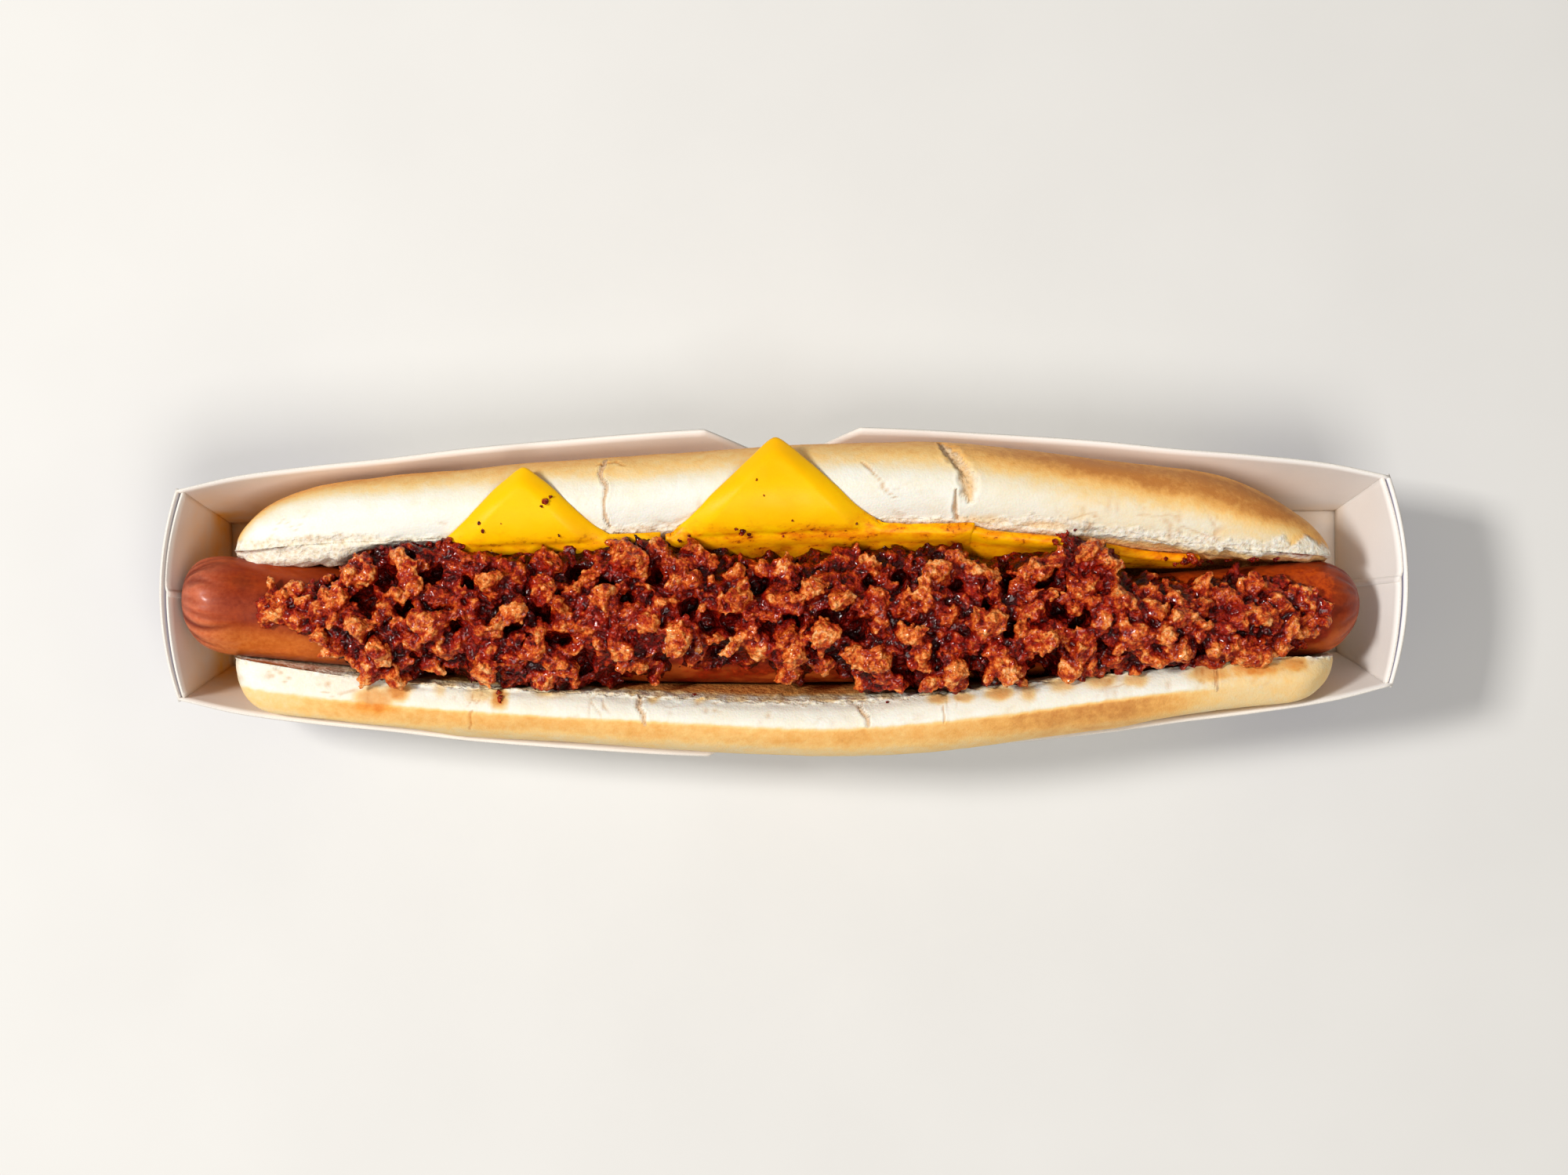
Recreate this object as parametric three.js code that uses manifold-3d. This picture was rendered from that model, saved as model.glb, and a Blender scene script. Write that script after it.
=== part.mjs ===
// A foot-long chili cheese dog in its folded paperboard tray.
//
// Frame: millimetres, +Z up. X runs along the food, Y across it. The origin is the middle of the tray's
// underside, and the tray stands on the plane z = 0. The wide half of the split bun, over which the corners
// of the cheese slices lie, is on the +Y side.
//
// Pieces: the tray (one folded sheet of board), the bun (one piece, split from above down to a hinge), the
// frankfurter that lies in the split, three square slices of processed cheese tucked between the frankfurter
// and the wide half of the bun, and the heap of meat sauce on top.

import * as THREE from 'three';
import { mergeVertices } from 'three/addons/utils/BufferGeometryUtils.js';
import Module from 'manifold-3d';

const wasm = await Module();
wasm.setup();

// ---------------------------------------------------------------------------------------------- sizes, mm

// Tray: a flat floor, two long walls that lean out most at mid-length, where each has a V-shaped notch, and
// two bowed ends. At each end the long walls carry on as flaps, which meet at a seam inside the end panel.
const BOARD = 0.6;
const FLOOR_HALF_LENGTH = 154;
const FLOOR_HALF_WIDTH = 20;
const WALL_SLANT = 41.5; // height of the long wall, measured along the board
const RIM_CORNER_X = 158;
const RIM_STATION_X = [0, 20, 62, 83, 103, 123, 143, 158];
const RIM_HALF_WIDTH = [43.2, 43.1, 40.2, 38.3, 35.8, 33.7, 30.9, 27.3];
const RIM_SAG = 1.1; // the bun pushes both long walls towards -Y by this at mid-length
const NOTCH_HALF_WIDTH = 20.5;
const NOTCH_DEPTH = 16;
const END_RIM_X = 162.5; // the end's bow at its rim
const END_HEIGHT = 40.7;

// Frankfurter: the axis bows towards -Y, and its left end rides up a little.
const FRANK_LEFT_X = -157.6;
const FRANK_RIGHT_X = 151.6;
const FRANK_RADIUS_LEFT = 12.9;
const FRANK_RADIUS_RIGHT = 12.3;
const FRANK_BOW_X = 12;
const FRANK_BOW_Y = -12.5;
const FRANK_BOW_LEFT = 3.88e-4; // mm of offset per mm squared from the middle of the bow
const FRANK_BOW_RIGHT = 3.45e-4;
const FRANK_AXIS_Z = 30;
const FRANK_LIFT_LEFT = 4.5;
const FRANK_LIFT_RIGHT = 1.2;
const FRANK_CAP = 12.5; // length of the rounded end
const FRANK_PLEATS = 9; // gathers of the casing at each end
const FRANK_PLEAT_DEPTH = 0.07; // of the radius, at the tip

// Bun: distances from the centre line at eight stations, before the ends are rounded.
const BUN_STATION_X = [-146, -104, -50, 10, 42, 82, 122, 145];
const WIDE_OUTSIDE_Y = [26.5, 30.5, 34.2, 37.2, 37.2, 32.6, 27.6, 24.0];
const WIDE_CUT_EDGE_Y = [11.2, 12.9, 14.4, 16.6, 16.8, 12.6, 7.9, 6.4];
const NARROW_CUT_EDGE_Y = [-15.6, -22.4, -26.4, -29.3, -27.3, -23.0, -19.4, -19.0];
const NARROW_OUTSIDE_Y = [-32.0, -36.0, -40.0, -43.8, -42.9, -37.9, -34.0, -32.5];
const BUN_LEFT_X = -143.8;
const BUN_RIGHT_X = 144.2;
const WIDE_END_ROUNDING = 42; // length over which the wide half rounds off at its ends
const NARROW_END_ROUNDING = 12;
const BUN_CREST_Z = 51;
const BUN_CREST_DROP = 3.4; // the crests are lower by this 110 mm from the middle
const CUT_EDGE_ABOVE_AXIS = 16; // height of the cut edges above the frankfurter's axis
const BUN_BASE_Z = 0.98;
const WALL_CLEARANCE = 0.85;

// Cheese slices: a corner of each lies on the bun's wide half, and the rest goes down into the split.
const CHEESE_THICKNESS = 2.4;
const CHEESE_GAP = 0.5;
const CUT_EDGE_CLEARANCE = 0.7; // and a little more where a slice bends over the cut edge and the crest
const CHEESE_DEPTH = 13; // how far a slice reaches down the cut face
const SLICE_BOW = 1.1;
const SLICES = [
  { name: 'cheese_left', from: -88, to: -31.4, corner: -66.5, reach: 19.0 },
  { name: 'cheese_middle', from: -30.6, to: 47.6, corner: -1.8, reach: 24.2 },
  { name: 'cheese_right', from: 48.4, to: 109, corner: 78, reach: 0 },
];

// Meat sauce: a heap along the frankfurter, narrow where it starts on the left.
const HEAP_LEFT_X = -137;
const HEAP_FULL_FROM_X = -113;
const HEAP_FULL_TO_X = 92;
const HEAP_RIGHT_X = 137;
const HEAP_CREST_Z = 54.5;
const HEAP_LUMP = 1.5; // height of the lumps that make its surface uneven

// ---------------------------------------------------------------------------------------------- helpers

const along = (xs, ys) => {
  const f = new THREE.CubicInterpolant(xs, ys, 1);
  return (x) => f.evaluate(x)[0];
};
const clamp01 = (t) => Math.min(1, Math.max(0, t));
const ease = (t) => t * t * (3 - 2 * t);
const mix = (a, b, t) => a + (b - a) * t;

// A closed geometry from points and triangles, turned so that its faces point out.
function closed(points, triangles) {
  const flat = new Float32Array(points.length * 3);
  points.forEach((p, i) => flat.set([p.x, p.y, p.z], i * 3));
  let volume = 0;
  const n = new THREE.Vector3();
  for (const [a, b, c] of triangles) volume += points[a].dot(n.crossVectors(points[b], points[c]));
  const g = new THREE.BufferGeometry();
  g.setAttribute('position', new THREE.BufferAttribute(flat, 3));
  g.setIndex(triangles.flatMap(([a, b, c]) => (volume < 0 ? [a, c, b] : [a, b, c])));
  return g;
}

const toSolid = (geometry) => {
  const g = geometry.clone();
  g.deleteAttribute('normal');
  g.deleteAttribute('uv');
  const m = mergeVertices(g, 1e-4);
  return new wasm.Manifold(
    new wasm.Mesh({ numProp: 3, vertProperties: m.attributes.position.array, triVerts: new Uint32Array(m.index.array) }),
  );
};

const toGeometry = (solid) => {
  const m = solid.getMesh();
  const v = new Float32Array(m.numVert * 3);
  for (let i = 0; i < m.numVert; i++) v.set(m.vertProperties.subarray(i * m.numProp, i * m.numProp + 3), i * 3);
  const g = new THREE.BufferGeometry();
  g.setAttribute('position', new THREE.BufferAttribute(v, 3));
  g.setIndex(new THREE.BufferAttribute(m.triVerts, 1));
  return g;
};

// A sheet of even thickness on the surface that place(u, v) gives, as a closed body.
function sheet(us, vs, place, low, high) {
  const nu = us.length;
  const nv = vs.length;
  const mid = us.map((u) => vs.map((v) => place(u, v)));
  const across = new THREE.Vector3();
  const up = new THREE.Vector3();
  const points = [];
  for (const shift of [low, high]) {
    for (let i = 0; i < nu; i++) {
      for (let j = 0; j < nv; j++) {
        across.subVectors(mid[Math.min(i + 1, nu - 1)][j], mid[Math.max(i - 1, 0)][j]);
        up.subVectors(mid[i][Math.min(j + 1, nv - 1)], mid[i][Math.max(j - 1, 0)]);
        points.push(mid[i][j].clone().addScaledVector(across.cross(up).normalize(), shift));
      }
    }
  }
  const at = (side, i, j) => side * nu * nv + i * nv + j;
  const triangles = [];
  const quad = (a, b, c, d) => triangles.push([a, b, c], [a, c, d]);
  for (let i = 0; i + 1 < nu; i++) {
    for (let j = 0; j + 1 < nv; j++) {
      quad(at(0, i, j), at(0, i, j + 1), at(0, i + 1, j + 1), at(0, i + 1, j));
      quad(at(1, i, j), at(1, i + 1, j), at(1, i + 1, j + 1), at(1, i, j + 1));
    }
  }
  for (let i = 0; i + 1 < nu; i++) {
    quad(at(0, i, 0), at(0, i + 1, 0), at(1, i + 1, 0), at(1, i, 0));
    quad(at(0, i, nv - 1), at(1, i, nv - 1), at(1, i + 1, nv - 1), at(0, i + 1, nv - 1));
  }
  for (let j = 0; j + 1 < nv; j++) {
    quad(at(0, 0, j), at(1, 0, j), at(1, 0, j + 1), at(0, 0, j + 1));
    quad(at(0, nu - 1, j), at(0, nu - 1, j + 1), at(1, nu - 1, j + 1), at(1, nu - 1, j));
  }
  return closed(points, triangles);
}

const steps = (from, to, n) => Array.from({ length: n + 1 }, (_, i) => mix(from, to, i / n));

// ---------------------------------------------------------------------------------------------- tray

// Half the width between the long walls at their top edge, and how far their middle is pushed aside.
const rimProfile = along(RIM_STATION_X, RIM_HALF_WIDTH);
const rimHalfWidth = (x) => rimProfile(Math.min(Math.abs(x), RIM_CORNER_X));
const rimSag = (x) => -RIM_SAG * (1 - (x / RIM_CORNER_X) ** 2);
const rimHeight = (x) => Math.sqrt(WALL_SLANT ** 2 - (rimHalfWidth(x) - FLOOR_HALF_WIDTH) ** 2);
// The outer face of a long wall. u runs from -1 to 1 along it, v from 0 at the fold to 1 at the top edge.
const longWall = (side, u, v) => {
  const x = RIM_CORNER_X * u;
  const cut = (NOTCH_DEPTH / WALL_SLANT) * Math.max(0, 1 - Math.abs(x) / NOTCH_HALF_WIDTH);
  const t = v * (1 - cut);
  return new THREE.Vector3(
    mix(FLOOR_HALF_LENGTH * u, x, t),
    side * mix(FLOOR_HALF_WIDTH, rimHalfWidth(x), t) + rimSag(x) * t,
    rimHeight(x) * t,
  );
};
// The outer face of an end. w runs from -1 to 1 across it.
const endWall = (end, w, v) =>
  new THREE.Vector3(
    end * (mix(FLOOR_HALF_LENGTH, RIM_CORNER_X, v) + (END_RIM_X - RIM_CORNER_X) * (1 - w * w) * v ** 1.5),
    mix(FLOOR_HALF_WIDTH, RIM_HALF_WIDTH.at(-1), v) * w,
    END_HEIGHT * v,
  );

// One closed shell: its walls are a ring of columns, each with an outer and an inner face. The board is single
// on the long walls and double at the ends, where the flaps lie behind the end panel.
function makeTray() {
  const notch = NOTCH_HALF_WIDTH / RIM_CORNER_X;
  const wall = [...steps(-1, -0.62, 6), ...steps(-0.52, -notch, 4), 0, ...steps(notch, 0.52, 4), ...steps(0.62, 1, 6)];
  const across = steps(-1, 1, 8).slice(1, -1);
  const columns = [
    ...wall.map((u) => ({ at: (v) => longWall(1, u, v), in: [Math.abs(u) === 1 ? -2 * u : 0, -1.2] })),
    ...[...across].reverse().map((w) => ({ at: (v) => endWall(1, w, v), in: [-2, 0] })),
    ...[...wall].reverse().map((u) => ({ at: (v) => longWall(-1, u, v), in: [Math.abs(u) === 1 ? -2 * u : 0, 1.2] })),
    ...across.map((w) => ({ at: (v) => endWall(-1, w, v), in: [2, 0] })),
  ];
  const rows = [0, 0.5, 1];
  const points = [];
  for (const { at } of columns) for (const v of rows) points.push(at(v));
  for (const { at, in: [dx, dy] } of columns) {
    for (const v of rows) {
      const p = at(v);
      points.push(new THREE.Vector3(p.x + dx * BOARD, p.y + dy * BOARD, v ? p.z : BOARD));
    }
  }
  const n = columns.length;
  const m = rows.length;
  const outer = (i, j) => (i % n) * m + j;
  const inner = (i, j) => (n + (i % n)) * m + j;
  const under = points.push(new THREE.Vector3(0, 0, 0)) - 1;
  const above = points.push(new THREE.Vector3(0, 0, BOARD)) - 1;
  const triangles = [];
  const quad = (a, b, c, d) => triangles.push([a, b, c], [a, c, d]);
  for (let i = 0; i < n; i++) {
    triangles.push([under, outer(i, 0), outer(i + 1, 0)], [above, inner(i + 1, 0), inner(i, 0)]);
    for (let j = 0; j + 1 < m; j++) {
      quad(outer(i, j), outer(i, j + 1), outer(i + 1, j + 1), outer(i + 1, j));
      quad(inner(i, j), inner(i + 1, j), inner(i + 1, j + 1), inner(i, j + 1));
    }
    quad(outer(i, m - 1), inner(i, m - 1), inner(i + 1, m - 1), outer(i + 1, m - 1));
  }
  return closed(points, triangles);
}

// ---------------------------------------------------------------------------------------------- frankfurter

const frankY = (x) => FRANK_BOW_Y + (x < FRANK_BOW_X ? FRANK_BOW_LEFT : FRANK_BOW_RIGHT) * (x - FRANK_BOW_X) ** 2;
const frankZ = (x) => {
  const t = x < FRANK_BOW_X ? (FRANK_BOW_X - x) / (FRANK_BOW_X - FRANK_LEFT_X) : (x - FRANK_BOW_X) / (FRANK_RIGHT_X - FRANK_BOW_X);
  return FRANK_AXIS_Z + (x < FRANK_BOW_X ? FRANK_LIFT_LEFT : FRANK_LIFT_RIGHT) * t * t;
};
const frankBody = (x) => mix(FRANK_RADIUS_LEFT, FRANK_RADIUS_RIGHT, (x - FRANK_LEFT_X) / (FRANK_RIGHT_X - FRANK_LEFT_X));
// The left end is blunter than the right one.
const capShape = (t, blunt) => (1 - Math.min(1, t) ** blunt) ** (1 / blunt);
function frankRadius(x) {
  const left = (FRANK_LEFT_X + FRANK_CAP - x) / FRANK_CAP;
  const right = (x - (FRANK_RIGHT_X - FRANK_CAP)) / FRANK_CAP;
  return frankBody(x) * (left > 0 ? capShape(left, 2.5) : right > 0 ? capShape(right, 2.05) : 1);
}

function makeFrank(extra, around) {
  const inCap = [0.02, 0.09, 0.2, 0.36, 0.56, 0.78].map((t) => t * FRANK_CAP);
  const left = FRANK_LEFT_X - extra;
  const right = FRANK_RIGHT_X + extra;
  const xs = [
    ...inCap.map((d) => left + d),
    ...steps(FRANK_LEFT_X + FRANK_CAP, FRANK_RIGHT_X - FRANK_CAP, 16),
    ...inCap.map((d) => right - d).reverse(),
  ];
  const points = [new THREE.Vector3(left, frankY(left), frankZ(left))];
  for (const x of xs) {
    const nearest = Math.min(x - left, right - x) / FRANK_CAP;
    const gather = extra > 0 ? 0 : FRANK_PLEAT_DEPTH * Math.max(0, 1 - nearest) ** 1.2;
    const r = frankRadius(THREE.MathUtils.clamp(x, FRANK_LEFT_X + 0.2, FRANK_RIGHT_X - 0.2)) + extra;
    for (let k = 0; k < around; k++) {
      const a = (2 * Math.PI * k) / around;
      const pleat = 1 - gather * (0.5 + 0.5 * Math.cos(FRANK_PLEATS * a));
      points.push(new THREE.Vector3(x, frankY(x) + r * pleat * Math.cos(a), frankZ(x) + r * pleat * Math.sin(a)));
    }
  }
  points.push(new THREE.Vector3(right, frankY(right), frankZ(right)));
  const triangles = [];
  const last = points.length - 1;
  const at = (i, k) => 1 + i * around + (k % around);
  for (let k = 0; k < around; k++) {
    triangles.push([0, at(0, k + 1), at(0, k)], [last, at(xs.length - 1, k), at(xs.length - 1, k + 1)]);
    for (let i = 0; i + 1 < xs.length; i++) {
      triangles.push([at(i, k), at(i, k + 1), at(i + 1, k + 1)], [at(i, k), at(i + 1, k + 1), at(i + 1, k)]);
    }
  }
  return closed(points, triangles);
}

// ---------------------------------------------------------------------------------------------- bun

const wideOutside = along(BUN_STATION_X, WIDE_OUTSIDE_Y);
const wideCutEdge = along(BUN_STATION_X, WIDE_CUT_EDGE_Y);
const narrowCutEdge = along(BUN_STATION_X, NARROW_CUT_EDGE_Y);
const narrowOutside = along(BUN_STATION_X, NARROW_OUTSIDE_Y);
const beyond = (x, rounding) =>
  Math.min(1, Math.max(0, Math.max(x - (BUN_RIGHT_X - rounding), BUN_LEFT_X + rounding - x) / rounding));
// How much of the full thickness is left at x, for a half that rounds off over that length.
const endRounding = (x, rounding) => Math.max(0.03, (1 - beyond(x, rounding) ** 2) ** 0.58);
const cutEdgeZ = (x) => {
  const full = CUT_EDGE_ABOVE_AXIS - 2.6 * (x / 110) ** 2;
  return frankZ(x) + full * (0.1 + 0.9 * Math.sqrt(1 - Math.min(0.999, beyond(x, 38)) ** 2));
};
// The inner face of the long wall on one side, with room for the bun.
const insideWall = (side, x, z) =>
  FLOOR_HALF_WIDTH + ((rimHalfWidth(x) + side * rimSag(x) - FLOOR_HALF_WIDTH) * z) / rimHeight(x) - 1.2 * BOARD - WALL_CLEARANCE;

// The cut faces: down the wide half's, round under the frankfurter and up the narrow half's.
function cutFaces(x, n) {
  const y = frankY(x);
  const z = frankZ(x);
  const r = frankBody(x) + 0.5;
  const cheeseRoom = CHEESE_THICKNESS + 2 * CHEESE_GAP - 0.4;
  const wideR = r + cheeseRoom * (1 - beyond(x, 34));
  const edge = cutEdgeZ(x);
  const out = [];
  for (let i = 0; i < n; i++) out.push([mix(wideCutEdge(x), y + wideR, i / n), mix(edge, z, i / n)]);
  const m = 2 * n;
  for (let i = 0; i <= m; i++) {
    const a = (Math.PI * i) / m;
    out.push([y + mix(wideR, r, i / m) * Math.cos(a), z - r * Math.sin(a)]);
  }
  const narrowTop = Math.min(narrowCutEdge(x), y - r);
  for (let i = 1; i <= n; i++) out.push([mix(y - r, narrowTop, i / n), mix(z, edge, i / n)]);
  return out;
}

// The outside, at full thickness: from the wide half's cut edge over its crest, down its crust, under the
// base and up over the narrow half.
function crust(x, n) {
  const wide = wideOutside(x);
  const wideEdge = wideCutEdge(x);
  const narrow = narrowOutside(x);
  const narrowEdge = narrowCutEdge(x);
  const crest = BUN_CREST_Z - BUN_CREST_DROP * (x / 110) ** 2;
  const edge = frankZ(x) + CUT_EDGE_ABOVE_AXIS - 2.6 * (x / 110) ** 2;
  const fit = (y, z) =>
    Math.sign(y) * Math.min(Math.abs(y), insideWall(Math.sign(y), x, z) + 1.6 * Math.max(0, z - rimHeight(x) - 0.5));
  const spots = [
    [wideEdge, edge],
    [mix(wideEdge, wide, 0.22), mix(edge, crest, 0.72)],
    [mix(wideEdge, wide, 0.5), crest],
    [mix(wideEdge, wide, 0.82), crest - 3.6],
    [fit(wide - 0.4, crest - 10), crest - 10],
    [fit(wide - 0.2, 33), 33],
    [fit(wide - 2, 22), 22],
    [fit(31, 11), 11],
    [17.5, 2.6],
    [10, BUN_BASE_Z],
    [-11, BUN_BASE_Z],
    [-17.5, 2.6],
    [fit(-31, 11), 11],
    [fit(narrow + 2, 22), 22],
    [fit(narrow + 0.6, 32), 32],
    [fit(narrow, crest - 11), crest - 11],
    [mix(narrowEdge, narrow, 0.86), crest - 4],
    [mix(narrowEdge, narrow, 0.5), crest],
    [mix(narrowEdge, narrow, 0.2), mix(edge, crest, 0.75)],
    [narrowEdge, edge],
  ].map(([y, z]) => new THREE.Vector2(y, z));
  const path = new THREE.SplineCurve(spots);
  return steps(0, 1, n).map((t) => {
    const p = path.getPoint(t);
    const z = Math.max(BUN_BASE_Z, p.y);
    return [z > 4 ? fit(p.x, z) : p.x, z];
  });
}

const N_FACE = 5; // steps down each cut face, and the round below has twice as many

function bunRing(x) {
  const inner = cutFaces(x, N_FACE);
  const n = inner.length - 1;
  const outer = crust(x, n);
  return outer.map(([y, z], i) => {
    const t = ease(i / n);
    const f = endRounding(x, mix(WIDE_END_ROUNDING, NARROW_END_ROUNDING, t));
    const [yi, zi] = inner[i];
    return { inner: [yi, zi], outer: [mix(yi, y, f), mix(zi, z, f)] };
  });
}

function makeBun() {
  const nearEnd = [0, 0.012, 0.05, 0.11, 0.19, 0.3, 0.43, 0.58, 0.76].map((t) => t * WIDE_END_ROUNDING);
  const xs = [
    ...nearEnd.map((d) => BUN_LEFT_X + d),
    ...steps(BUN_LEFT_X + WIDE_END_ROUNDING, BUN_RIGHT_X - WIDE_END_ROUNDING, 15),
    ...nearEnd.map((d) => BUN_RIGHT_X - d).reverse(),
  ];
  const points = [];
  const rings = xs.map(bunRing);
  const n = rings[0].length;
  rings.forEach((ring, i) => {
    ring.forEach(({ inner: [y, z] }) => points.push(new THREE.Vector3(xs[i], y, z)));
    // the first and last crust points are the cut edges themselves, so they move in a little to stay apart
    ring.forEach(({ outer: [y, z] }, k) => {
      const apart = k === 0 ? [0.5, 0.3] : k === n - 1 ? [-0.5, 0.3] : [0, 0];
      points.push(new THREE.Vector3(xs[i], y + apart[0], z + apart[1]));
    });
  });
  const inner = (i, k) => i * 2 * n + k;
  const outer = (i, k) => i * 2 * n + n + k;
  const triangles = [];
  const quad = (a, b, c, d) => triangles.push([a, b, c], [a, c, d]);
  for (let i = 0; i + 1 < xs.length; i++) {
    for (let k = 0; k + 1 < n; k++) {
      quad(inner(i, k), inner(i + 1, k), inner(i + 1, k + 1), inner(i, k + 1));
      quad(outer(i, k), outer(i, k + 1), outer(i + 1, k + 1), outer(i + 1, k));
    }
    quad(inner(i, 0), outer(i, 0), outer(i + 1, 0), inner(i + 1, 0));
    quad(inner(i, n - 1), inner(i + 1, n - 1), outer(i + 1, n - 1), outer(i, n - 1));
  }
  const end = xs.length - 1;
  for (let k = 0; k + 1 < n; k++) {
    quad(inner(0, k), inner(0, k + 1), outer(0, k + 1), outer(0, k));
    quad(inner(end, k), outer(end, k), outer(end, k + 1), inner(end, k + 1));
  }
  return closed(points, triangles);
}

// ---------------------------------------------------------------------------------------------- cheese

// The line that a slice follows at x, from down in the split, over the wide half's cut edge and out past its
// crest. It is measured by length from the cut edge: negative down in the split, positive outwards.
function cheeseLine(x) {
  const inner = cutFaces(x, 12).slice(0, 13).reverse();
  const outer = crust(x, 120).slice(1, 16);
  const crest = outer[outer.length - 1];
  const line = [...inner.slice(0, -1), ...outer, [crest[0] + 8, crest[1] - 0.8], [crest[0] + 16, crest[1] - 2.8]];
  const soft = line.map((p, i) => {
    const a = line[Math.max(0, i - 1)];
    const b = line[Math.min(line.length - 1, i + 1)];
    return new THREE.Vector2((a[0] + 2 * p[0] + b[0]) / 4, (a[1] + 2 * p[1] + b[1]) / 4);
  });
  const lengths = [0];
  for (let i = 1; i < soft.length; i++) lengths.push(lengths[i - 1] + soft[i].distanceTo(soft[i - 1]));
  const zero = lengths[12];
  soft.forEach((p, i) => {
    const s = lengths[i] - zero;
    const lift = CUT_EDGE_CLEARANCE * (s < 0 ? Math.exp(-((s / 3) ** 2)) : 1);
    const lean = 0.6 * Math.exp(-Math.abs(s) / 6);
    p.x -= lift * lean;
    p.y += lift * Math.sqrt(1 - lean * lean);
  });
  return (s) => {
    const want = THREE.MathUtils.clamp(s + zero, 0, lengths[lengths.length - 1]);
    let i = 1;
    while (i < lengths.length - 1 && lengths[i] < want) i++;
    const t = (want - lengths[i - 1]) / (lengths[i] - lengths[i - 1]);
    return soft[i - 1].clone().lerp(soft[i], t);
  };
}

function makeSlice({ from, to, corner, reach }) {
  const xs = reach
    ? [...steps(from, corner, 6), ...steps(corner, to, 8).slice(1)]
    : steps(from, to, 10);
  const lines = new Map(xs.map((x) => [x, cheeseLine(x)]));
  // the corner of a square slice laid cornerwise, with sides that the warmth has bowed out a little
  const top = (x) => (reach ? Math.max(-1.2, reach * (1 - ((0.96 * Math.abs(x - corner)) / reach) ** SLICE_BOW)) : -1.2);
  const place = (x, v) => {
    const p = lines.get(x)(mix(-CHEESE_DEPTH, top(x), v));
    return new THREE.Vector3(x, p.x, p.y);
  };
  return sheet(xs, steps(0, 1, reach ? 8 : 4), place, CHEESE_GAP, CHEESE_GAP + CHEESE_THICKNESS);
}

// ---------------------------------------------------------------------------------------------- meat sauce

function makeHeap() {
  const xs = [HEAP_LEFT_X, HEAP_LEFT_X + 2, ...steps(HEAP_LEFT_X + 6, HEAP_RIGHT_X - 5, 48), HEAP_RIGHT_X - 1.5, HEAP_RIGHT_X];
  const over = 10;
  const lump = (x, y) =>
    HEAP_LUMP * (Math.sin(0.41 * x + 0.9 * Math.sin(0.23 * y)) * Math.cos(0.33 * y + 0.11 * x) + 0.6 * Math.sin(0.83 * x - 0.52 * y));
  const rings = xs.map((x) => {
    const y = frankY(x);
    const z = frankZ(x);
    const start = ease(clamp01((x - HEAP_LEFT_X) / (HEAP_FULL_FROM_X - HEAP_LEFT_X)) ** 2);
    const stop = ease(clamp01((x - HEAP_FULL_TO_X) / (HEAP_RIGHT_X - HEAP_FULL_TO_X)));
    const tip = Math.sqrt(clamp01(Math.min(x - HEAP_LEFT_X, HEAP_RIGHT_X - x) / 5 + 0.02));
    const face = cheeseLine(x)(-3.4); // beside the cheese
    const clear = CHEESE_GAP * 2 + CHEESE_THICKNESS + 1.5;
    const wide = mix(mix(y + 5.5, face.x - clear, start), y + 8.6, stop) - (1 - tip) * 4;
    const narrow = mix(mix(y - 5.5, narrowCutEdge(x) + 2.2, start), y - 11.4, stop) + (1 - tip) * 4;
    const wideZ = mix(mix(z + 11.2, face.y - 0.6, start), z + 9.6, stop);
    const narrowZ = mix(mix(z + 11.2, cutEdgeZ(x) - 4.2, start), z + 6.2, stop);
    const crest = mix(mix(z + 14.4, HEAP_CREST_Z, start), z + 17.4, stop) - (1 - tip) * 2;
    const ring = [];
    for (let k = 0; k <= over; k++) {
      const t = k / over;
      const py = mix(wide, narrow, t);
      const arch = (1 - Math.abs(2 * t - 1) ** 2.6) ** 0.75;
      const inside = Math.min(1, 4 * t, 4 * (1 - t));
      ring.push([py, mix(mix(wideZ, narrowZ, t), crest, arch) + lump(x, py) * inside * tip]);
    }
    const low = mix(z + 6, z + 2.5, start * (1 - stop));
    ring.push([mix(y, narrow, 0.8), low], [y, z + 4], [mix(y, wide, 0.55), low + 2]);
    return ring;
  });
  const n = rings[0].length;
  const points = rings.flatMap((ring, i) => ring.map(([y, z]) => new THREE.Vector3(xs[i], y, z)));
  const triangles = [];
  for (let i = 0; i + 1 < xs.length; i++) {
    for (let k = 0; k < n; k++) {
      const a = i * n + k;
      const b = i * n + ((k + 1) % n);
      triangles.push([a, b, b + n], [a, b + n, a + n]);
    }
  }
  const last = (xs.length - 1) * n;
  const middle = [0, 1].map((e) => {
    const ring = rings[e ? rings.length - 1 : 0];
    points.push(new THREE.Vector3(xs[e ? xs.length - 1 : 0], ring.reduce((s, p) => s + p[0], 0) / n, ring.reduce((s, p) => s + p[1], 0) / n));
    return points.length - 1;
  });
  for (let k = 0; k < n; k++) {
    const b = (k + 1) % n;
    triangles.push([middle[0], b, k], [middle[1], last + k, last + b]);
  }
  const heap = toSolid(closed(points, triangles)).subtract(toSolid(makeFrank(0.55, 20)));
  const pieces = heap.decompose().sort((a, b) => b.volume() - a.volume());
  return toGeometry(pieces[0]);
}

// ---------------------------------------------------------------------------------------------- the object

const board = new THREE.MeshStandardMaterial({ color: 0xeeebe6, roughness: 0.55, metalness: 0 });
const bread = new THREE.MeshStandardMaterial({ color: 0xe2b06c, roughness: 0.75, metalness: 0 });
const frank = new THREE.MeshStandardMaterial({ color: 0xa04a22, roughness: 0.35, metalness: 0 });
const cheese = new THREE.MeshStandardMaterial({ color: 0xfec800, roughness: 0.4, metalness: 0 });
const sauce = new THREE.MeshStandardMaterial({ color: 0x84301a, roughness: 0.3, metalness: 0 });

const named = (name, geometry, material) => {
  const mesh = new THREE.Mesh(geometry, material);
  mesh.name = name;
  return mesh;
};

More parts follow.
